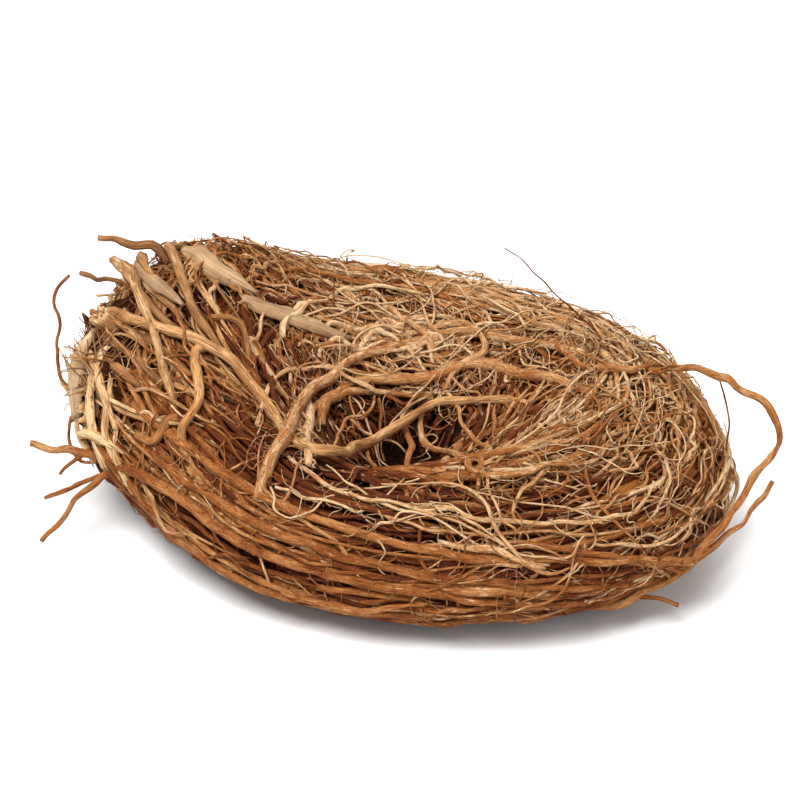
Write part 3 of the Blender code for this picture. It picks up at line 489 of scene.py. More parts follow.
def corners(dice, rows, points, swings):
    """Random values that run straight from one to the next, for the sharp bends of a dry root."""
    knots = dice.normal(0, 0.6, size=(rows, int(math.ceil(swings)) + 3))
    place = dice.uniform(0, 1, size=(rows, 1)) + np.linspace(0, swings, points)[None]
    index = place.astype(int)
    row = np.arange(rows)[:, None]
    return knots[row, index] + (knots[row, index + 1] - knots[row, index]) * (place - index)


def run_along(path):
    """How far along the path each of its points is."""
    return np.concatenate([[0], np.cumsum(length_of(np.diff(path, axis=0))[:, 0])])


def smooth_route(route, points):
    """A Catmull-Rom curve through a route's places, with its points evenly spaced."""
    route = np.asarray(route, float)
    padded = np.vstack([2 * route[0] - route[1], route, 2 * route[-1] - route[-2]])
    place = np.linspace(0, len(route) - 1, points * 4)
    index = np.minimum(place.astype(int), len(route) - 2)
    fine = spline(*(padded[index + step] for step in range(4)), (place - index)[:, None])
    run = run_along(fine)
    even = np.linspace(0, run[-1], points)
    return np.stack([np.interp(even, run, fine[:, axis]) for axis in range(3)], axis=-1)


def carried_frames(paths):
    """Two directions across each path that turn as little as they can along it."""
    tangent = unit(np.gradient(paths, axis=1))
    side = np.empty_like(paths)
    side[:, 0] = unit(np.cross(tangent[:, 0], (0.31, 0.17, 0.93)))
    for step in range(1, paths.shape[1]):
        ahead = tangent[:, step]
        before = side[:, step - 1]
        side[:, step] = unit(before - (before * ahead).sum(-1, keepdims=True) * ahead)
    return side, np.cross(tangent, side)


def strand_faces(rows, points, sides):
    """The quads round closed strands made of rings of points, and the faces at their ends."""
    first = (np.arange(rows)[:, None, None] * points + np.arange(points - 1)[None, :, None]) * sides
    here, following = first + np.arange(sides), first + np.roll(np.arange(sides), -1)
    quads = np.stack([here, following, following + sides, here + sides], axis=-1)
    start = np.arange(rows)[:, None] * points * sides + np.arange(sides)[::-1][None]
    end = (np.arange(rows)[:, None] + 1) * points * sides - sides + np.arange(sides)[None]
    return [quads.reshape(-1, 4), np.vstack([start, end])]


def tubes(dice, paths, radii, sides, tint, pale, ridge):
    """Closed round strands along paths in mm, with their grain, tint and paleness at each point."""
    rows, points = radii.shape
    side, up = carried_frames(paths)
    angle = 2 * math.pi * np.arange(sides) / sides
    uneven = 1 + ridge * np.clip(dice.normal(size=(rows, 1, sides)), -1.6, 1.6)
    reach = radii[:, :, None] * uneven
    ring = (side[:, :, None] * np.cos(angle)[:, None] + up[:, :, None] * np.sin(angle)[:, None])
    places = paths[:, :, None] + ring * reach[..., None]
    places[..., 2] = np.maximum(places[..., 2], FLOOR_GAP)
    run = np.cumsum(np.pad(length_of(np.diff(paths, axis=1))[..., 0], ((0, 0), (1, 0))), axis=1)
    run = run + dice.uniform(0, STRAND_OFFSET, size=(rows, 1))
    wide = radii[:, :, None]
    grain = np.broadcast_arrays(wide * np.cos(angle), wide * np.sin(angle), run[:, :, None])
    tint, pale = (np.repeat(np.broadcast_to(mark, (rows, points)).ravel(), sides) for mark in (tint, pale))
    return {"places": places.reshape(-1, 3), "faces": strand_faces(rows, points, sides),
            "grain": np.stack(grain, axis=-1).reshape(-1, 3), "tint": tint, "pale": pale}


def joined(batches):
    """Several batches of strands as one."""
    parts = ("places", "grain", "tint", "pale")
    made = {part: np.concatenate([batch[part] for batch in batches]) for part in parts}
    start, made["faces"] = 0, []
    for batch in batches:
        made["faces"] += [face + start for face in batch["faces"]]
        start += len(batch["places"])
    return made


def add_piece(name, batch, look, nodes):
    """Makes one smooth mesh piece that rides on the root body."""
    mesh = bpy.data.meshes.new(name)
    sizes = np.concatenate([np.full(len(face), face.shape[1]) for face in batch["faces"]])
    turns = np.concatenate([face.ravel() for face in batch["faces"]])
    mesh.vertices.add(len(batch["places"]))
    mesh.vertices.foreach_set("co", (batch["places"] * MM).astype(np.float32).ravel())
    mesh.loops.add(len(turns))
    mesh.loops.foreach_set("vertex_index", turns.astype(np.int32))
    mesh.polygons.add(len(sizes))
    mesh.polygons.foreach_set("loop_start", np.concatenate([[0], np.cumsum(sizes)[:-1]]).astype(np.int32))
    mesh.polygons.foreach_set("use_smooth", np.ones(len(sizes), bool))
    mesh.update(calc_edges=True)
    grain = mesh.attributes.new("grain", "FLOAT_VECTOR", "POINT")
    grain.data.foreach_set("vector", batch["grain"].astype(np.float32).ravel())
    for key in ("tint", "pale"):
        mesh.attributes.new(key, "FLOAT", "POINT").data.foreach_set("value", batch[key].astype(np.float32))
    mesh.materials.append(look)
    piece = bpy.data.objects.new(name, mesh)
    bpy.context.scene.collection.objects.link(piece)
    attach(piece, "root")
    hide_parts(*nodes)


class Field:
    """A number or colour that varies over the surface. Sums and products of numbers add Math nodes."""

    def __init__(self, look, socket):
        self.look, self.socket = look, socket

    def math(self, operation, first, second):
        return self.look.add("ShaderNodeMath", {"operation": operation}, {0: first, 1: second})

    def __add__(self, other):
        return self.math("ADD", self, other)

    def __sub__(self, other):
        return self.math("SUBTRACT", self, other)

    def __rsub__(self, other):
        return self.math("SUBTRACT", other, self)

    def __mul__(self, other):
        return self.math("MULTIPLY", self, other)

    __radd__, __rmul__ = __add__, __mul__

    def above(self, level, softness):
        """0 below the level and 1 above it, over a soft edge of that width."""
        settings = {"interpolation_type": "SMOOTHSTEP"}
        places = {"Value": self, "From Min": level - softness / 2, "From Max": level + softness / 2}
        return self.look.add("ShaderNodeMapRange", settings, places)


class Look:
    """A material made of nodes, with a Principled shader."""

    def __init__(self, name, **shader_values):
        self.material = bpy.data.materials.new(name)
        self.material.use_nodes = True
        self.tree = self.material.node_tree
        self.shader = self.tree.nodes["Principled BSDF"]
        for socket, value in shader_values.items():
            self.shader.inputs[socket.replace("_", " ")].default_value = value

    def add(self, kind, settings=(), places=(), output=0):
        """Adds a node of that kind, sets it up, then fills its sockets with values or links."""
        node = self.tree.nodes.new(kind)
        for setting, value in dict(settings).items():
            if setting == "stops":
                self.set_stops(node.color_ramp.elements, value)
            else:
                setattr(node, setting, value)
        for socket, value in dict(places).items():
            self.feed(node.inputs[socket], value)
        return Field(self, node.outputs[output])

    @staticmethod
    def set_stops(stops, wanted):
        while len(stops) < len(wanted):
            stops.new(1.0)
        for stop, (place, colour) in zip(stops, wanted):
            stop.position = place
            stop.color = (*colour[:3], 1)

    def feed(self, socket, value):
        if isinstance(value, Field):
            self.tree.links.new(value.socket, socket)
        else:
            socket.default_value = value

    def finish(self, colour, roughness, height, depth):
        """Feeds the shader: a colour, a roughness, and a bump of that depth in mm from a height."""
        bump = self.add("ShaderNodeBump", {}, {"Strength": 1.0, "Distance": depth * MM, "Height": height})
        self.feed(self.shader.inputs["Base Color"], colour)
        self.feed(self.shader.inputs["Roughness"], roughness)
        self.feed(self.shader.inputs["Normal"], bump)
        return self.material

    def mark(self, name, output=2):
        """A mark kept at the mesh's points: its number by default, or its vector with output 1."""
        return self.add("ShaderNodeAttribute", {"attribute_name": name}, {}, output)

    def noise(self, place, stretch, detail):
        """Noise about 0.5, with that many features a millimetre along each direction of the grain."""
        stretched = self.add("ShaderNodeVectorMath", {"operation": "MULTIPLY"}, {0: place, 1: stretch})
        return self.add("ShaderNodeTexNoise", {}, {"Vector": stretched, "Scale": 1.0, "Detail": detail})

    def shades(self, tone, *stops):
        """The colour that a tone has among stops of a place from 0 to 1 and a colour."""
        return self.add("ShaderNodeValToRGB", {"stops": stops}, {0: tone})

    def mix(self, share, first, second):
        return self.add("ShaderNodeMix", {"data_type": "RGBA"}, {0: share, 6: first, 7: second}, 2)


def dimmed(colour, share):
    return (*[value * share for value in colour[:3]], 1)


def bark_look(colours):
    """Dried root bark: lengthwise wrinkles, fine cross cracks, and paler patches where it has peeled."""
    look = Look("dried_bark", Specular_IOR_Level=0.12)
    grain = look.mark("grain", 1)
    streaks = look.noise(grain, (5.0, 5.0, 0.3), 3)
    wrinkles = look.noise(grain, (7.5, 7.5, 0.8), 3)
    cracks = look.noise(grain, (1.2, 1.2, 4.5), 2)
    blotches = look.noise(grain, (0.22, 0.22, 0.11), 2)
    peeled = (look.noise(grain, (1.1, 1.1, 0.3), 4) + look.mark("pale") * 0.3).above(0.78, 0.1)
    tone = look.mark("tint") + (blotches - 0.5) * 0.8 + (streaks - 0.5) * 0.95
    bark = look.shades(tone, (0.0, dimmed(colours.root_deep, 0.55)), (0.22, colours.root_deep),
                       (0.5, colours.root_mid), (0.78, colours.root_light), (1.0, colours.root_straw))
    bare = look.mix(streaks.above(0.5, 0.3), colours.root_light, colours.root_straw)
    colour = look.mix(peeled * 0.85, bark, bare)
    furrow = (1 - wrinkles).above(0.56, 0.16) * 0.7
    colour = look.mix(furrow, colour, dimmed(colours.root_deep, 0.5))
    roughness = streaks * 0.35 + 0.58
    height = wrinkles + cracks * 0.35 + streaks * 0.4
    return look.finish(colour, roughness, height, 0.22)


def straw_look(colours):
    """The crown's stems, thick roots and fibres: pale straw or fresher gold, with soil in the furrows."""
    look = Look("crown_straw", Specular_IOR_Level=0.15)
    grain = look.mark("grain", 1)
    streaks = look.noise(grain, (4.4, 4.4, 0.16), 3)
    furrows = look.noise(grain, (5.5, 5.5, 0.34), 3)
    blotches = look.noise(grain, (0.25, 0.25, 0.13), 3)
    tone = look.mark("tint") + (blotches - 0.5) * 0.9 + (streaks - 0.5) * 0.9
    darkest = dimmed(colours.crown_brown, 0.35)
    pairs = ((colours.crown_gold, colours.crown_amber), (colours.crown_straw, colours.crown_cream))
    golden, straw = (look.shades(tone, (0.0, darkest), (0.3, colours.crown_brown), (0.65, usual),
                                 (1.0, lightest)) for usual, lightest in pairs)
    bare = look.mix(look.mark("pale"), golden, straw)
    colour = look.mix((1 - furrows).above(0.56, 0.14) * 0.65, bare, dimmed(colours.crown_brown, 0.4))
    return look.finish(colour, streaks * 0.3 + 0.6, furrows + streaks * 0.5, 0.28)


def leaf_look(colours):
    """Dry leaf: papery, with parallel veins and browner stains."""
    look = Look("papery_leaf", Specular_IOR_Level=0.3)
    grain = look.mark("grain", 1)
    veins = look.noise(grain, (3.4, 0.6, 0.05), 2)
    fibres = look.noise(grain, (8.0, 2.0, 0.2), 3)
    stains = look.noise(grain, (0.3, 0.3, 0.12), 3)
    tone = look.mark("tint") + (veins - 0.5) * 0.5 + (stains - 0.5) * 0.9
    leaf = look.shades(tone, (0.0, dimmed(colours.leaf_stain, 0.5)), (0.35, colours.leaf_stain),
                       (0.65, colours.leaf_tan), (1.0, colours.leaf_pale))
    colour = look.mix((1 - fibres).above(0.54, 0.14) * 0.5, leaf, dimmed(colours.leaf_stain, 0.6))
    return look.finish(colour, veins * 0.3 + 0.5, veins + fibres * 0.6, 0.3)


def litter_look(colours):
    """The dark packed inside of the nest and the crown: root litter, fibres and soil."""
    look = Look("root_litter", Specular_IOR_Level=0.05)
    grain = look.mark("grain", 1)
    fibres = look.noise(grain, (0.5, 1.6, 1.6), 4)
    crumbs = look.noise(grain, (1.1, 1.1, 1.1), 4)
    tone = fibres * 0.9 + (crumbs - 0.5) * 0.7 + (look.mark("tint") - 0.35) * 0.75
    colour = look.shades(tone, (0.2, dimmed(colours.soil, 0.4)), (0.5, colours.soil),
                         (0.75, colours.root_deep), (1.0, colours.root_mid))
    return look.finish(colour, crumbs * 0.2 + 0.75, fibres + crumbs * 0.6, 0.5)


def colour_setting(name, description, red, green, blue):
    """A colour that can be changed in the panel."""
    return bpy.props.FloatVectorProperty(name=name, description=description, subtype="COLOR", size=4,
                                         min=0, max=1, default=(red, green, blue, 1))


class RootColours(bpy.types.PropertyGroup):
    root_deep: colour_setting("Deep bark", "The darkest whole bark", 0.13, 0.029, 0.006)
    root_mid: colour_setting("Bark", "The usual orange-brown bark", 0.31, 0.108, 0.026)
    root_light: colour_setting("Light bark", "Sun-dried, thinner bark", 0.49, 0.255, 0.105)
    root_straw: colour_setting("Peeled root", "Where the bark has come off", 0.67, 0.46, 0.26)
    crown_brown: colour_setting("Crown brown", "Weathered crown and soil stains", 0.15, 0.06, 0.02)
    crown_straw: colour_setting("Crown straw", "The crown's roots and stems", 0.36, 0.188, 0.074)
    crown_cream: colour_setting("Crown cream", "Torn fibres and cut ends", 0.75, 0.53, 0.3)
    crown_gold: colour_setting("Crown gold", "The crown's fresher, yellower roots", 0.41, 0.168, 0.05)
    crown_amber: colour_setting("Crown amber", "Where those are lightest", 0.67, 0.38, 0.15)
    leaf_stain: colour_setting("Leaf stain", "Browner parts of the dry leaf", 0.24, 0.135, 0.065)
    leaf_tan: colour_setting("Leaf tan", "The dry leaf's main colour", 0.45, 0.28, 0.14)
    leaf_pale: colour_setting("Leaf pale", "The dry leaf's palest parts", 0.63, 0.44, 0.25)
    soil: colour_setting("Soil", "The dark inside of the clump", 0.03, 0.01, 0.004)
    floor: colour_setting("Floor", "The surface that the clump lies on", 0.86, 0.86, 0.86)


def count_setting(name, description, usual, most):
    """A number of roots that can be changed in the panel."""
    return bpy.props.IntProperty(name=name, description=description, default=usual, min=0, max=most)


class RootSizes(bpy.types.PropertyGroup):
    thickness: bpy.props.FloatProperty(name="Root thickness", description="Times the usual root thickness",
                                       default=1.0, min=0.6, max=1.5, subtype="FACTOR")
    kink: bpy.props.FloatProperty(name="Kink", description="How far a root strays from a smooth line",
                                  default=0.48 * MM, min=0, max=1 * MM, unit="LENGTH", precision=5)
    rootlets: count_setting("Rootlets", "Number of fine side roots", 800, 3000)
    hairs: count_setting("Root hairs", "Number of the finest hairs", 1100, 4000)
    stubs: count_setting("Broken stubs", "Number of short stubs of broken side roots", 1900, 6000)
    seed: bpy.props.IntProperty(name="Seed", description="Number that sets all random choices",
                                default=7, min=0)


def settings():
    """The sizes set in the panel."""
    return bpy.context.scene.vetiver_sizes


def dice_for(step):
    """Random numbers of a step's own, so that a change to one step leaves the others alone."""
    return np.random.default_rng([settings().seed, step])


def look_named(name):
    """A material by its name, made the first time that it is asked for."""
    makers = {"dried_bark": bark_look, "crown_straw": straw_look, "papery_leaf": leaf_look,
              "root_litter": litter_look}
    return bpy.data.materials.get(name) or makers[name](bpy.context.scene.vetiver_colours)


def kinked(dice, paths, size, spacing):
    """Paths that stray from their smooth line, slowly and in sharp bends about that many mm apart."""
    rows, points = paths.shape[:2]
    swings = length_of(np.diff(paths, axis=1)).sum(axis=1).mean() / spacing
    bends = [SLOW_BEND * wander(dice, rows, points, swings / SLOW_SPACING)
             + SHARP_BEND * corners(dice, rows, points, swings) for _ in range(3)]
    return paths + size / MM * np.stack(bends, axis=-1)


def laid_rows(dice, group):
    """Bearings, folds and lifts of roots laid in locks over the nest: those of one lock bend together."""
    locks, roots, points = group["locks"], group["roots"], group["points"]
    rows = locks * roots

    def shared(values):
        return np.repeat(values, roots, axis=0)

    def swing(amount, swings):
        return amount * wander(dice, rows, points, swings)

    low, high = group["fold"]
    steps = (dice.permutation(locks) + dice.uniform(0, 1, locks)) / locks
    along = np.linspace(0, 1, points)[None]
    start = shared(dice.uniform(*group["start"], locks)) + dice.uniform(-START_SCATTER, START_SCATTER, rows)
    sweep = shared(dice.uniform(*group["sweep"], locks)) * dice.uniform(0.8, 1.15, rows)
    fold = shared(low + (high - low) * steps) + dice.uniform(-1, 1, rows) * group["spread"]
    drift = shared(dice.uniform(*group["drift"], locks)) + dice.normal(0, DRIFT_SCATTER, rows)
    lift = dice.uniform(*group["lift"], rows)
    bearings = start[:, None] + sweep[:, None] * along + swing(*BEARING_SWING)
    amount, swings = LOCK_SWING
    folds = (fold[:, None] + drift[:, None] * along + amount * shared(wander(dice, locks, points, swings))
             + swing(*FOLD_SWING) + swing(*FOLD_QUIVER))
    lifts = lift[:, None] + swing(*LIFT_SWING) + swing(*LIFT_QUIVER)
    ends = np.minimum(along, 1 - along) / END_SHARE
    lifts = lifts - END_DIP * np.maximum(0, 1 - ends) ** 2 * (dice.uniform(0, 1, (rows, 1)) < DIPPING_SHARE)
    return bearings, folds, lifts


def off_floor(paths, radii):
    """Paths raised where strands of those radii would sink into the floor."""
    paths[..., 2] = np.maximum(paths[..., 2], radii + FLOOR_GAP)
    return paths


def tapering(dice, radius, points, tip):
    """Radii of strands that thin to a tip and swell and narrow a little on the way."""
    along = np.linspace(0, 1, points)[None]
    rows = len(radius)
    swell = 1 + SWELL * wander(dice, rows, points, points / SWELL_POINTS)
    swell = swell + KNOB * corners(dice, rows, points, points / KNOB_POINTS)
    return np.maximum(radius[:, None] * (1 - (1 - tip) * along ** 2.2) * swell, radius[:, None] * 0.2)


def bark_shade_and_stain(bearing, fold):
    """How much darker the bark is: painted shade deep in the hollow and along its front lip, and a darker
    tone beside the crown's top.
    """
    lip = near_bearing(bearing, LIP_BEARING, LIP_SPREAD) * ramp(fold, 48, 74) * ramp(fold, 150, 130)
    tuft = near_bearing(bearing, TUFT_BEARING, TUFT_SPREAD) * ramp(fold, 30, 50) * ramp(fold, 124, 112)
    return LIP_SHADE * lip + TUFT_STAIN * tuft + DEEP_SHADE * ramp(fold, 124, 154)


def row_batch(dice, group):
    """The strands of one group of rows, and the places on them where side roots can grow."""
    points = group["points"]
    places = laid_rows(dice, group)
    rows = len(places[0])
    least, most = group["radius"]
    radius = dice.uniform(0, 1, rows) ** THIN_FAVOUR * (most - least) + least
    paths = kinked(dice, nest_points(*places), settings().kink, ROW_SPACING)
    radii = tapering(dice, radius * settings().thickness, points, 0.5)
    # Painted shade: roots that lie deeper among the others or under the waist are darker
    shade = LIFT_SHADE * places[2].mean(axis=1) + FOOT_SHADE * np.minimum(0, places[1].mean(axis=1))
    # A group's lighter share makes its roots lighter toward their ends: painted shade where they start deep
    # in the hollow
    along = np.linspace(-0.5, 0.5, points)[None]
    tint = (dice.normal(*group["tint"], rows) + shade)[:, None] + group.get("lighter", 0.0) * along
    # Painted shade in and along the hollow, and the darker tone beside the crown's top
    tint = np.clip(tint - bark_shade_and_stain(places[0], places[1]), 0, 1)
    pale = np.clip(group["pale"] + dice.normal(0, 0.22, rows), 0, 1)[:, None]
    batch = tubes(dice, off_floor(paths, radii), radii, group["sides"], tint, pale, 0.15)
    return batch, (*places, tint)


def wandering(dice, bearing, fold, lift, heading, length, points, curl):
    """Paths that start on the nest and wander over it. A heading of 0 degrees follows the bearing."""
    step = length / (points - 1)
    turns = wander(dice, len(bearing), points, points / 4) * curl
    bearings, folds = [bearing], [fold]
    for index in range(1, points):
        here = nest_points(bearings[-1], folds[-1], lift)
        round_mm = length_of(nest_points(bearings[-1] + 1, folds[-1], lift) - here)[:, 0]
        across_mm = length_of(nest_points(bearings[-1], folds[-1] + 1, lift) - here)[:, 0]
        heading = heading + turns[:, index]
        bearings.append(bearings[-1] + step * np.cos(np.radians(heading)) / np.maximum(round_mm, 0.3))
        folds.append(folds[-1] + step * np.sin(np.radians(heading)) / np.maximum(across_mm, 0.2))
    return np.stack(bearings, axis=1), np.stack(folds, axis=1)


def side_roots(dice, grounds, count, kind):
    """Finer roots that spring from the laid ones and wander off over the nest."""
    flat = [np.concatenate([ground[part].ravel() for ground in grounds]) for part in range(4)]
    _, fold, lift, _ = flat
    shown = (lift > BURIED_LIFT) & (fold > UNDER_FOLD)
    weight = np.where(shown, 1.0, BURIED_WEIGHT) * np.where(fold > WALL_FOLD, 1.0, WALL_WEIGHT)
    weight = weight * (lift < HIGHEST_LIFT) * np.where(fold > DEEP_FOLD, DEEP_WEIGHT, 1.0)
    chosen = dice.choice(len(weight), size=count, p=weight / weight.sum())
    bearing, fold, lift, tint = (part[chosen] for part in flat)
    heading = dice.choice([0, 180], count) + dice.normal(0, kind["stray"], count)
    length = dice.uniform(*kind["length"], count)
    bearings, folds = wandering(dice, bearing, fold, lift, heading, length, kind["points"], kind["curl"])
    along = np.linspace(0, 1, kind["points"])[None]
    rise = dice.uniform(*kind["rise"], count)[:, None]
    waves = wander(dice, count, kind["points"], 2.5)
    lifts = lift[:, None] + rise * along + 0.8 * kind["rise"][1] * along * waves
    smooth = nest_points(bearings, folds, lifts)
    paths = kinked(dice, smooth, settings().kink * kind["kink"], kind["spacing"])
    radius = dice.uniform(*kind["radius"], count)
    radii = tapering(dice, radius, kind["points"], 0.35)
    new_tint = np.clip(tint + kind["lighter"] + dice.normal(0, 0.12, count), 0, 1)[:, None]
    pale = np.clip(dice.normal(kind["pale"], 0.25, count), 0, 1)[:, None]
    batch = tubes(dice, off_floor(paths, radii), radii, kind["sides"], new_tint, pale, 0.05)
    return batch, (bearings, folds, lifts, np.repeat(new_tint, kind["points"], axis=1))


def bend_share(radius, on_nest):
    """How strongly a root followed one by one bends, against the usual kink."""
    if not on_nest:
        return min(1.4, 0.7 * (1 + radius))
    return 0.7 if radius > MEDIUM_ROOT else 0.55 + radius / 2


def followed_batch(dice, routes, sides, on_nest=True):
    """Roots that follow routes set one by one, and the places on them where side roots can grow."""
    batches, grounds = [], []
    for radius, tint, pale, route in routes:
        route = places = np.array(route, float)
        if on_nest:
            route[:, 0] = np.degrees(np.unwrap(np.radians(route[:, 0])))
            places = nest_points(*route.T)
        points = int(np.clip(length_of(np.diff(places, axis=0)).sum() / POINT_SPACING, *POINT_LIMITS))
        if on_nest:
            share = np.linspace(0, len(route) - 1, points)
            ground = [np.interp(share, range(len(route)), part) for part in route.T]
            grounds.append([part[None] for part in (*ground, np.full(points, tint))])
        fine = smooth_route(places, points)
        spacing = USUAL_SPACING if on_nest and radius > THIN_ROOT else THIN_SPACING
        paths = kinked(dice, fine[None], settings().kink * bend_share(radius, on_nest), spacing)
        radii = tapering(dice, np.array([radius]), points, 0.72)
        batches.append(tubes(dice, off_floor(paths, radii), radii, sides, tint, pale, 0.15))
    return joined(batches), grounds


def mound(dice, rows, rounds, place):
    """A closed lumpy mound, still without its tint: its points come from place(row share, round share)."""
    row_share, round_share = np.meshgrid(np.linspace(0, 1, rows), np.arange(rounds) / rounds, indexing="ij")
    points = place(row_share, round_share).reshape(-1, 3)
    return {"places": points, "faces": strand_faces(1, rows, rounds), "grain": points.copy(),
            "pale": dice.uniform(0, 0.3, len(points))}


def rumpled(dice, points, sizes):
    """Smooth lumps at each point, from crossed waves of each (length, height) in mm."""
    total = np.zeros(points.shape[:-1])
    for length, height in sizes:
        for _ in range(5):
            way = unit(dice.normal(size=3)) * 2 * math.pi / length
            total += height / 2.2 * np.sin(points @ way + dice.uniform(0, 6.3))
    return total


def packed_core(dice):
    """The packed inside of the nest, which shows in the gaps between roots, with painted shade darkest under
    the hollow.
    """
    def place(row_share, round_share):
        fold = CORE_FOLD * (2 * row_share - 1)
        bearing = 360 * round_share
        sunk = -CORE_DEPTH - HOLLOW_DEPTH * ramp(fold, 110, 150)
        lift = sunk + CORE_RIDGE * np.sin(np.radians(fold * 24 + 30 * np.sin(np.radians(3 * bearing))))
        points = nest_points(bearing, fold, lift)
        lumps = rumpled(dice, points, [(11, 0.9), (4.5, 0.6)])
        points = nest_points(bearing, fold, lift + np.where(fold < -90, 0, lumps))
        points[..., 2] = np.maximum(points[..., 2], 0.6)
        return points

    core = mound(dice, *CORE_POINTS, place)
    # Painted shade: the core is darkest under the hollow. It is also darker toward the crown's end, and
    # lighter toward the far end as painted light in the shadowed gaps there
    away = ramp(np.hypot(*(core["places"] - HOLLOW)[:, :2].T), 14, 40)
    toward_end = core["places"][:, 0] / HALF_LENGTH
    core["tint"] = 0.15 + away * (0.75 - 0.6 * np.clip(-toward_end, 0, 1) + 0.3 * np.clip(toward_end, 0, 1))
    return core


def rootstock(dice):
    """The crown's knobbly rootstock, with more soil further down."""
    def place(row_share, round_share):
        rise = math.pi * (0.02 + 0.96 * row_share) - math.pi / 2
        turn = 2 * math.pi * round_share
        way = np.stack([np.cos(rise) * np.cos(turn), np.cos(rise) * np.sin(turn), np.sin(rise)], axis=-1)
        points = CROWN_CENTRE + way * CROWN_HALF
        lumps = rumpled(dice, points, [(15, 1.4), (6, 1.0), (2.6, 0.6)])
        return points + way * lumps[..., None]

    stock = mound(dice, *STOCK_POINTS, place)
    stock["tint"] = 0.3 + 0.6 * ramp(stock["places"][:, 2], SOIL_TOP, SOIL_FULL)
    return stock


def cut_stem(dice, foot, direction, length, radius):
    """A cut stem base: a ridged tube with a ragged rim and a hollow in its end."""
    sides, count = STEM_SIDES, len(STEM_PROFILE)
    along = unit(np.array(direction, float))
    side = unit(np.cross(along, (0.2, 0.1, 0.97)))
    up = np.cross(along, side)
    angle = 2 * math.pi * np.arange(sides) / sides
    ridges = 1 + 0.07 * np.clip(dice.normal(size=sides), -1.5, 1.5)
    ridges = ridges + 0.06 * np.cos(2 * angle + dice.uniform(0, 6))
    ragged = 0.9 * np.clip(dice.normal(size=sides), -1.2, 1.2)
    turned = side * np.cos(angle)[:, None] + up * np.sin(angle)[:, None]
    rings = []
    for reach, share, _ in STEM_PROFILE:
        ends = length * reach + ragged * np.clip((reach - 0.8) / 0.2, 0, 1)
        rings.append(np.array(foot) + along * ends[:, None] + turned * (radius * share * ridges)[:, None])
    points = np.concatenate(rings)
    rolled = np.tile(np.stack([radius * np.cos(angle), radius * np.sin(angle)], axis=-1), (count, 1))
    run = np.repeat([length * reach for reach, _, _ in STEM_PROFILE], sides) + dice.uniform(0, STEM_OFFSET)
    tint = np.repeat([tint for _, _, tint in STEM_PROFILE], sides)
    grain = np.concatenate([rolled, run[:, None]], axis=1)
    return {"places": points, "faces": strand_faces(1, count, sides), "grain": grain, "tint": tint,
            "pale": np.full(len(points), 0.5)}


def leaf_strip(dice, path, outward, width, tint, thick=0.34, across=9):
    """A dry leaf sheath: a channelled strip with torn edges, closed all round."""
    count = len(path)
    ahead = unit(np.gradient(path, axis=0))
    side = unit(np.cross(ahead, outward))
    face = np.cross(side, ahead)
    share = np.linspace(0, 1, count)
    half = width / 2 * np.sin(np.pi * (0.14 + 0.82 * share)) ** 0.7
    over = np.linspace(-1, 1, across)
    torn = 1 + 0.12 * wander(dice, 2, count, count / 5)
    reach = np.where(over[None] > 0, torn[0][:, None], torn[1][:, None]) * half[:, None] * over
    cup = 0.16 * width * (1 - over ** 2)[None] + 0.22 * wander(dice, across, count, 4).T
    folds = 0.07 * np.cos(over * 16)[None]
    middle = path[:, None] + side[:, None] * reach[..., None] + face[:, None] * (cup + folds)[..., None]
    middle[0] -= ahead[0] * dice.uniform(0, 0.3, (across, 1)) * width
    middle[-1] += ahead[-1] * dice.uniform(0, 0.3, (across, 1)) * width
    thin = (thick / 2 * (1 - 0.7 * over ** 4))[None, :, None]
    top, under = middle + face[:, None] * thin, middle - face[:, None] * thin
    points = np.concatenate([top.reshape(-1, 3), under.reshape(-1, 3)])
    row, column = np.meshgrid(np.arange(count - 1), np.arange(across - 1), indexing="ij")
    a = row * across + column
    shift = count * across
    upper = np.stack([a, a + across, a + across + 1, a + 1], axis=-1).reshape(-1, 4)
    lower = np.stack([a + 1, a + across + 1, a + across, a], axis=-1).reshape(-1, 4) + shift
    rim = np.concatenate([np.arange(across - 1), np.arange(count - 1) * across + across - 1,
                          (count - 1) * across + np.arange(across - 1, 0, -1),
                          np.arange(count - 1, 0, -1) * across])
    following = np.roll(rim, -1)
    edge = np.stack([rim, following, following + shift, rim + shift], axis=-1)
    run = run_along(path) + dice.uniform(0, LEAF_OFFSET)
    grain = np.stack(np.broadcast_arrays(reach, cup, run[:, None]), axis=-1).reshape(-1, 3)
    from_edge = np.tile(1 - over ** 2, 2 * count)
    return {"places": points, "faces": [upper, lower, edge], "grain": np.tile(grain, (2, 1)),
            "tint": tint - 0.14 + 0.2 * from_edge, "pale": 0.2 + 0.7 * from_edge}


def lying_path(route, points):
    """A smooth path through places on the nest, and the way off the nest at each of its points."""
    bearing, fold, lift = np.array(route, float).T
    path, above = (smooth_route(nest_points(bearing, fold, lift + rise), points) for rise in (0, 1))
    return path, unit(above - path)


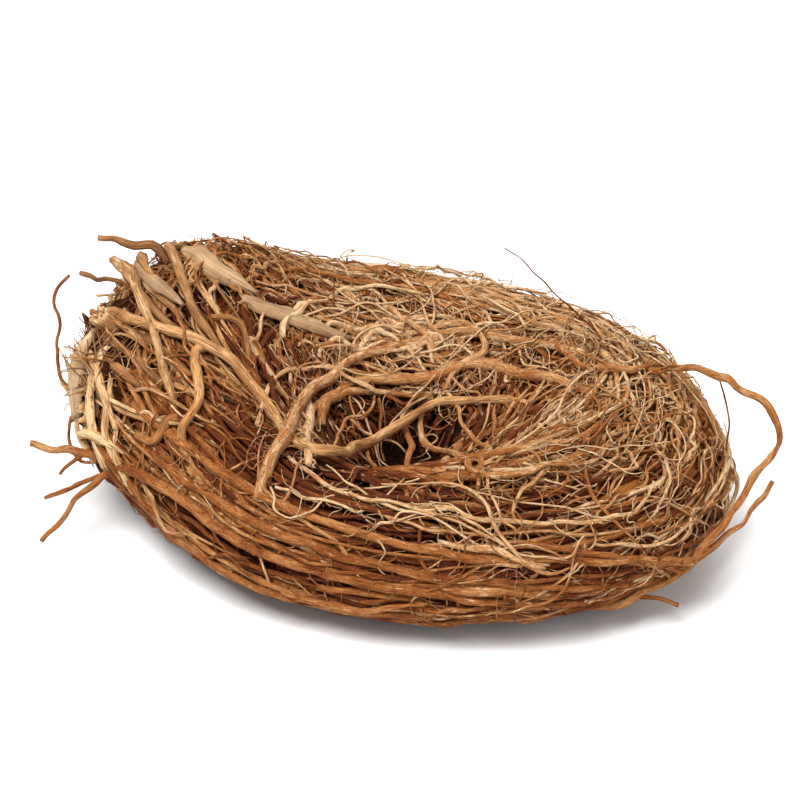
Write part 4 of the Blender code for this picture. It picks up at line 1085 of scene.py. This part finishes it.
def torn_fibres(dice, count):
    """Torn straw fibres that stand out round the crown's end."""
    way = unit(dice.normal(size=(count, 3)) * (0.5, 1.0, 0.95) + (-0.9, -0.3, 0.1))
    foot = CROWN_CENTRE + way * CROWN_HALF * dice.uniform(0.94, 1.06, (count, 1))
    lie = unit(np.cross(way, dice.normal(size=(count, 3)) + (0, 0, 0.6)))
    heading = unit(way * dice.uniform(-0.05, 0.32, (count, 1)) + lie)
    length = dice.uniform(4, 14, count)
    along = np.linspace(0, 1, 8)
    bow = np.cross(way, heading) * dice.uniform(-0.5, 0.5, (count, 1))
    bow = bow - way * dice.uniform(0.1, 0.35, (count, 1))
    paths = foot[:, None] + length[:, None, None] * (
        heading[:, None] * along[None, :, None] + bow[:, None] * (along ** 2)[None, :, None])
    paths = kinked(dice, paths, settings().kink * 0.6, 3.0)
    radii = tapering(dice, dice.uniform(0.08, 0.26, count), 8, 0.5)
    height = np.clip((foot[:, 2] - CROWN_CENTRE[2]) / CROWN_HALF[2], -1, 1)
    tint = np.clip(dice.normal(0.68, 0.17, count) - 0.26 * height, 0.05, 1)[:, None]
    return tubes(dice, paths, radii, 3, tint, dice.uniform(0.3, 1, (count, 1)), 0.1)


def torn_husks(dice, count):
    """Shreds of leaf base on the crown: broad ones down its end, and short ones all over it."""
    strips = []
    for width, tint, route in LEAF_BASES:
        strips.append(leaf_strip(dice, *lying_path(route, 26), width, tint, 0.3, 7))
    for _ in range(count):
        way = unit(dice.normal(size=3) * (0.5, 0.9, 0.8) + (-1.0, -0.5, -0.2))
        foot = CROWN_CENTRE + way * CROWN_HALF * 0.97
        lie = unit(np.cross(way, dice.normal(size=3)))
        heading = unit(way * dice.uniform(0.05, 0.3) + lie)
        length = dice.uniform(6, 15)
        route = [foot + heading * length * share - way * length * 0.16 * share ** 2
                 for share in (0, 0.5, 1)]
        path = smooth_route(route, 10)
        strips.append(leaf_strip(dice, path, np.broadcast_to(way, path.shape), dice.uniform(1.2, 3.0),
                                 dice.uniform(0.5, 1.0), 0.22, 5))
    return joined(strips)


# Bearings, folds, lifts and tints of the roots made so far, where side roots can grow
GROUNDS = []


class VETIVER_OT_packed_core(bpy.types.Operator):
    """Make the dark packed inside of the nest"""
    bl_idname = "vetiver.packed_core"
    bl_label = "Packed core"

    def execute(self, context):
        core = packed_core(dice_for(CORE_DICE))
        add_piece("packed_core", core, look_named("root_litter"), ["root_nest"])
        return {"FINISHED"}


class VETIVER_OT_laid_roots(bpy.types.Operator):
    """Lay the rows of roots round the nest"""
    bl_idname = "vetiver.laid_roots"
    bl_label = "Laid roots"

    def execute(self, context):
        look = look_named("dried_bark")
        for step, (name, group) in enumerate(ROW_GROUPS.items()):
            batch, ground = row_batch(dice_for(ROWS_DICE + step), group)
            GROUNDS.append(ground)
            add_piece(name, batch, look, ["root_nest"])
        return {"FINISHED"}


class VETIVER_OT_crossing_roots(bpy.types.Operator):
    """Make the roots that cross over the others, and the strays that stand clear"""
    bl_idname = "vetiver.crossing_roots"
    bl_label = "Crossing and stray roots"

    def execute(self, context):
        dice = dice_for(CROSSING_DICE)
        over, grounds = followed_batch(dice, OVER_ROOTS.values(), 8)
        strays, _ = followed_batch(dice, STRAY_ROOTS.values(), 8, on_nest=False)
        GROUNDS.extend(grounds * CROSSING_WEIGHT)
        look = look_named("dried_bark")
        for name, batch in (("crossing_roots", over), ("stray_roots", strays)):
            add_piece(name, batch, look, ["root_nest"])
        return {"FINISHED"}


class VETIVER_OT_crown(bpy.types.Operator):
    """Make the crown: its rootstock, cut stem bases, thick roots, torn fibres and husks"""
    bl_idname = "vetiver.crown"
    bl_label = "Crown"

    def execute(self, context):
        dice = dice_for(CROWN_DICE)
        straw = look_named("crown_straw")
        add_piece("rootstock", rootstock(dice), look_named("root_litter"), ["crown"])
        stems = joined([cut_stem(dice, *stem) for stem in STEM_BASES.values()])
        add_piece("stem_bases", stems, straw, ["crown"])
        roots, grounds = followed_batch(dice, CROWN_ROOTS.values(), 10)
        rows, ground = row_batch(dice, CROWN_ROWS)
        GROUNDS.extend([*grounds * CROWN_WEIGHT, ground])
        ends, _ = followed_batch(dice, CROWN_ENDS.values(), 8, on_nest=False)
        fibres = torn_fibres(dice, FIBRES)
        for name, batch in (("crown_roots", roots), ("crown_ends", ends), ("crown_rows", rows),
                            ("torn_fibres", fibres)):
            add_piece(name, batch, straw, ["crown"])
        add_piece("torn_husks", torn_husks(dice, HUSKS), straw, ["crown"])
        return {"FINISHED"}


class VETIVER_OT_leaf_sheaths(bpy.types.Operator):
    """Make the dry leaf sheaths"""
    bl_idname = "vetiver.leaf_sheaths"
    bl_label = "Leaf sheaths"

    def execute(self, context):
        dice = dice_for(SHEATHS_DICE)
        for name, (width, tint, facing, route) in SHEATHS.items():
            path, outward = lying_path(route, 40)
            strip = leaf_strip(dice, path, unit(outward + facing), width, tint)
            add_piece(f"leaf_{name}", strip, look_named("papery_leaf"), [name])
        return {"FINISHED"}


class VETIVER_OT_fine_roots(bpy.types.Operator):
    """Grow branches, rootlets and root hairs from the laid and crossing roots"""
    bl_idname = "vetiver.fine_roots"
    bl_label = "Fine roots"

    def execute(self, context):
        dice = dice_for(FINE_DICE)
        look = look_named("dried_bark")
        branches, ground = side_roots(dice, GROUNDS, BRANCHES, BRANCH)
        rootlets, fine_ground = side_roots(dice, GROUNDS + [ground], settings().rootlets, ROOTLET)
        hairs, _ = side_roots(dice, GROUNDS + [ground, fine_ground], settings().hairs, HAIR)
        stubs, _ = side_roots(dice, GROUNDS, settings().stubs, STUB)
        for name, batch in (("branches", branches), ("rootlets", rootlets), ("root_hairs", hairs),
                            ("broken_stubs", stubs)):
            add_piece(name, batch, look, ["root_nest"])
        return {"FINISHED"}


# The camera and the lights: angles in degrees, sizes in metres, powers in watts
CAMERA_TURN, CAMERA_RISE, CAMERA_LENS = 18, 30, 100
CAMERA_DISTANCE = 0.5067
CAMERA_TARGET = Vector((0, 0, 20)) * MM
FRAME_SHIFT = Vector((0.9, 7.75)) * MM
LIGHTS = {
    "key": dict(turn=-20, rise=62, distance=0.9, size=0.5, power=12.0),
    "fill": dict(turn=62, rise=28, distance=1.1, size=0.8, power=3.0),
    "back": dict(turn=170, rise=50, distance=1.0, size=0.6, power=4.0),
}
SKY_STRENGTH = 0.45


def toward(turn, rise):
    """The direction at a turn from the front and a rise over the floor."""
    turn, rise = math.radians(turn), math.radians(rise)
    return Vector((math.sin(turn) * math.cos(rise), -math.cos(turn) * math.cos(rise), math.sin(rise)))


def aimed(item, place, way_back):
    bpy.context.scene.collection.objects.link(item)
    item.location = place
    item.rotation_mode = "QUATERNION"
    item.rotation_quaternion = (-way_back).to_track_quat("-Z", "Y")


class VETIVER_OT_stage(bpy.types.Operator):
    """Set up the floor, the camera and the soft lights"""
    bl_idname = "vetiver.stage"
    bl_label = "Stage"

    def execute(self, context):
        colours = context.scene.vetiver_colours
        bpy.ops.mesh.primitive_plane_add(size=12)
        floor = context.object
        floor.name = "floor"
        paint = Look("floor_paint", Roughness=0.9, Specular_IOR_Level=0.1, Base_Color=colours.floor)
        floor.data.materials.append(paint.material)

        back = toward(CAMERA_TURN, CAMERA_RISE)
        right = Vector((math.cos(math.radians(CAMERA_TURN)), math.sin(math.radians(CAMERA_TURN)), 0))
        aim = CAMERA_TARGET + right * FRAME_SHIFT.x + back.cross(right) * FRAME_SHIFT.y
        lens = bpy.data.cameras.new("camera")
        lens.lens = CAMERA_LENS
        lens.clip_start, lens.clip_end = 0.01, 20
        camera = bpy.data.objects.new("camera", lens)
        aimed(camera, aim + back * CAMERA_DISTANCE, back)
        context.scene.camera = camera

        for name, light in LIGHTS.items():
            lamp = bpy.data.lights.new(name, "AREA")
            lamp.size, lamp.energy = light["size"], light["power"]
            way = toward(light["turn"], light["rise"])
            aimed(bpy.data.objects.new(name, lamp), CAMERA_TARGET + way * light["distance"], way)

        world = bpy.data.worlds.new("studio")
        world.use_nodes = True
        world.node_tree.nodes["Background"].inputs["Color"].default_value = (1, 1, 1, 1)
        world.node_tree.nodes["Background"].inputs["Strength"].default_value = SKY_STRENGTH
        context.scene.world = world
        context.scene.view_settings.view_transform = "Standard"
        return {"FINISHED"}


STEPS = (VETIVER_OT_packed_core, VETIVER_OT_laid_roots, VETIVER_OT_crossing_roots, VETIVER_OT_crown,
         VETIVER_OT_leaf_sheaths, VETIVER_OT_fine_roots, VETIVER_OT_stage)


class VETIVER_PT_panel(bpy.types.Panel):
    """Lists the steps that build the clump, with its sizes and colours"""
    bl_idname = "VETIVER_PT_panel"
    bl_label = "Dried vetiver root"
    bl_space_type = "VIEW_3D"
    bl_region_type = "UI"
    bl_category = "Root"

    def draw(self, context):
        for group in (context.scene.vetiver_sizes, context.scene.vetiver_colours):
            for key in group.bl_rna.properties.keys():
                if key not in ("rna_type", "name"):
                    self.layout.prop(group, key)
        for step in STEPS:
            self.layout.operator(step.bl_idname)


CLASSES = (RootColours, RootSizes, *STEPS, VETIVER_PT_panel)


def register():
    for item in CLASSES:
        bpy.utils.register_class(item)
    bpy.types.Scene.vetiver_colours = bpy.props.PointerProperty(type=RootColours)
    bpy.types.Scene.vetiver_sizes = bpy.props.PointerProperty(type=RootSizes)


def unregister():
    del bpy.types.Scene.vetiver_sizes
    del bpy.types.Scene.vetiver_colours
    for item in reversed(CLASSES):
        bpy.utils.unregister_class(item)


def main():
    register()
    for step in STEPS:
        family, name = step.bl_idname.split(".")
        getattr(getattr(bpy.ops, family), name)()


if __name__ == "__main__":
    main()
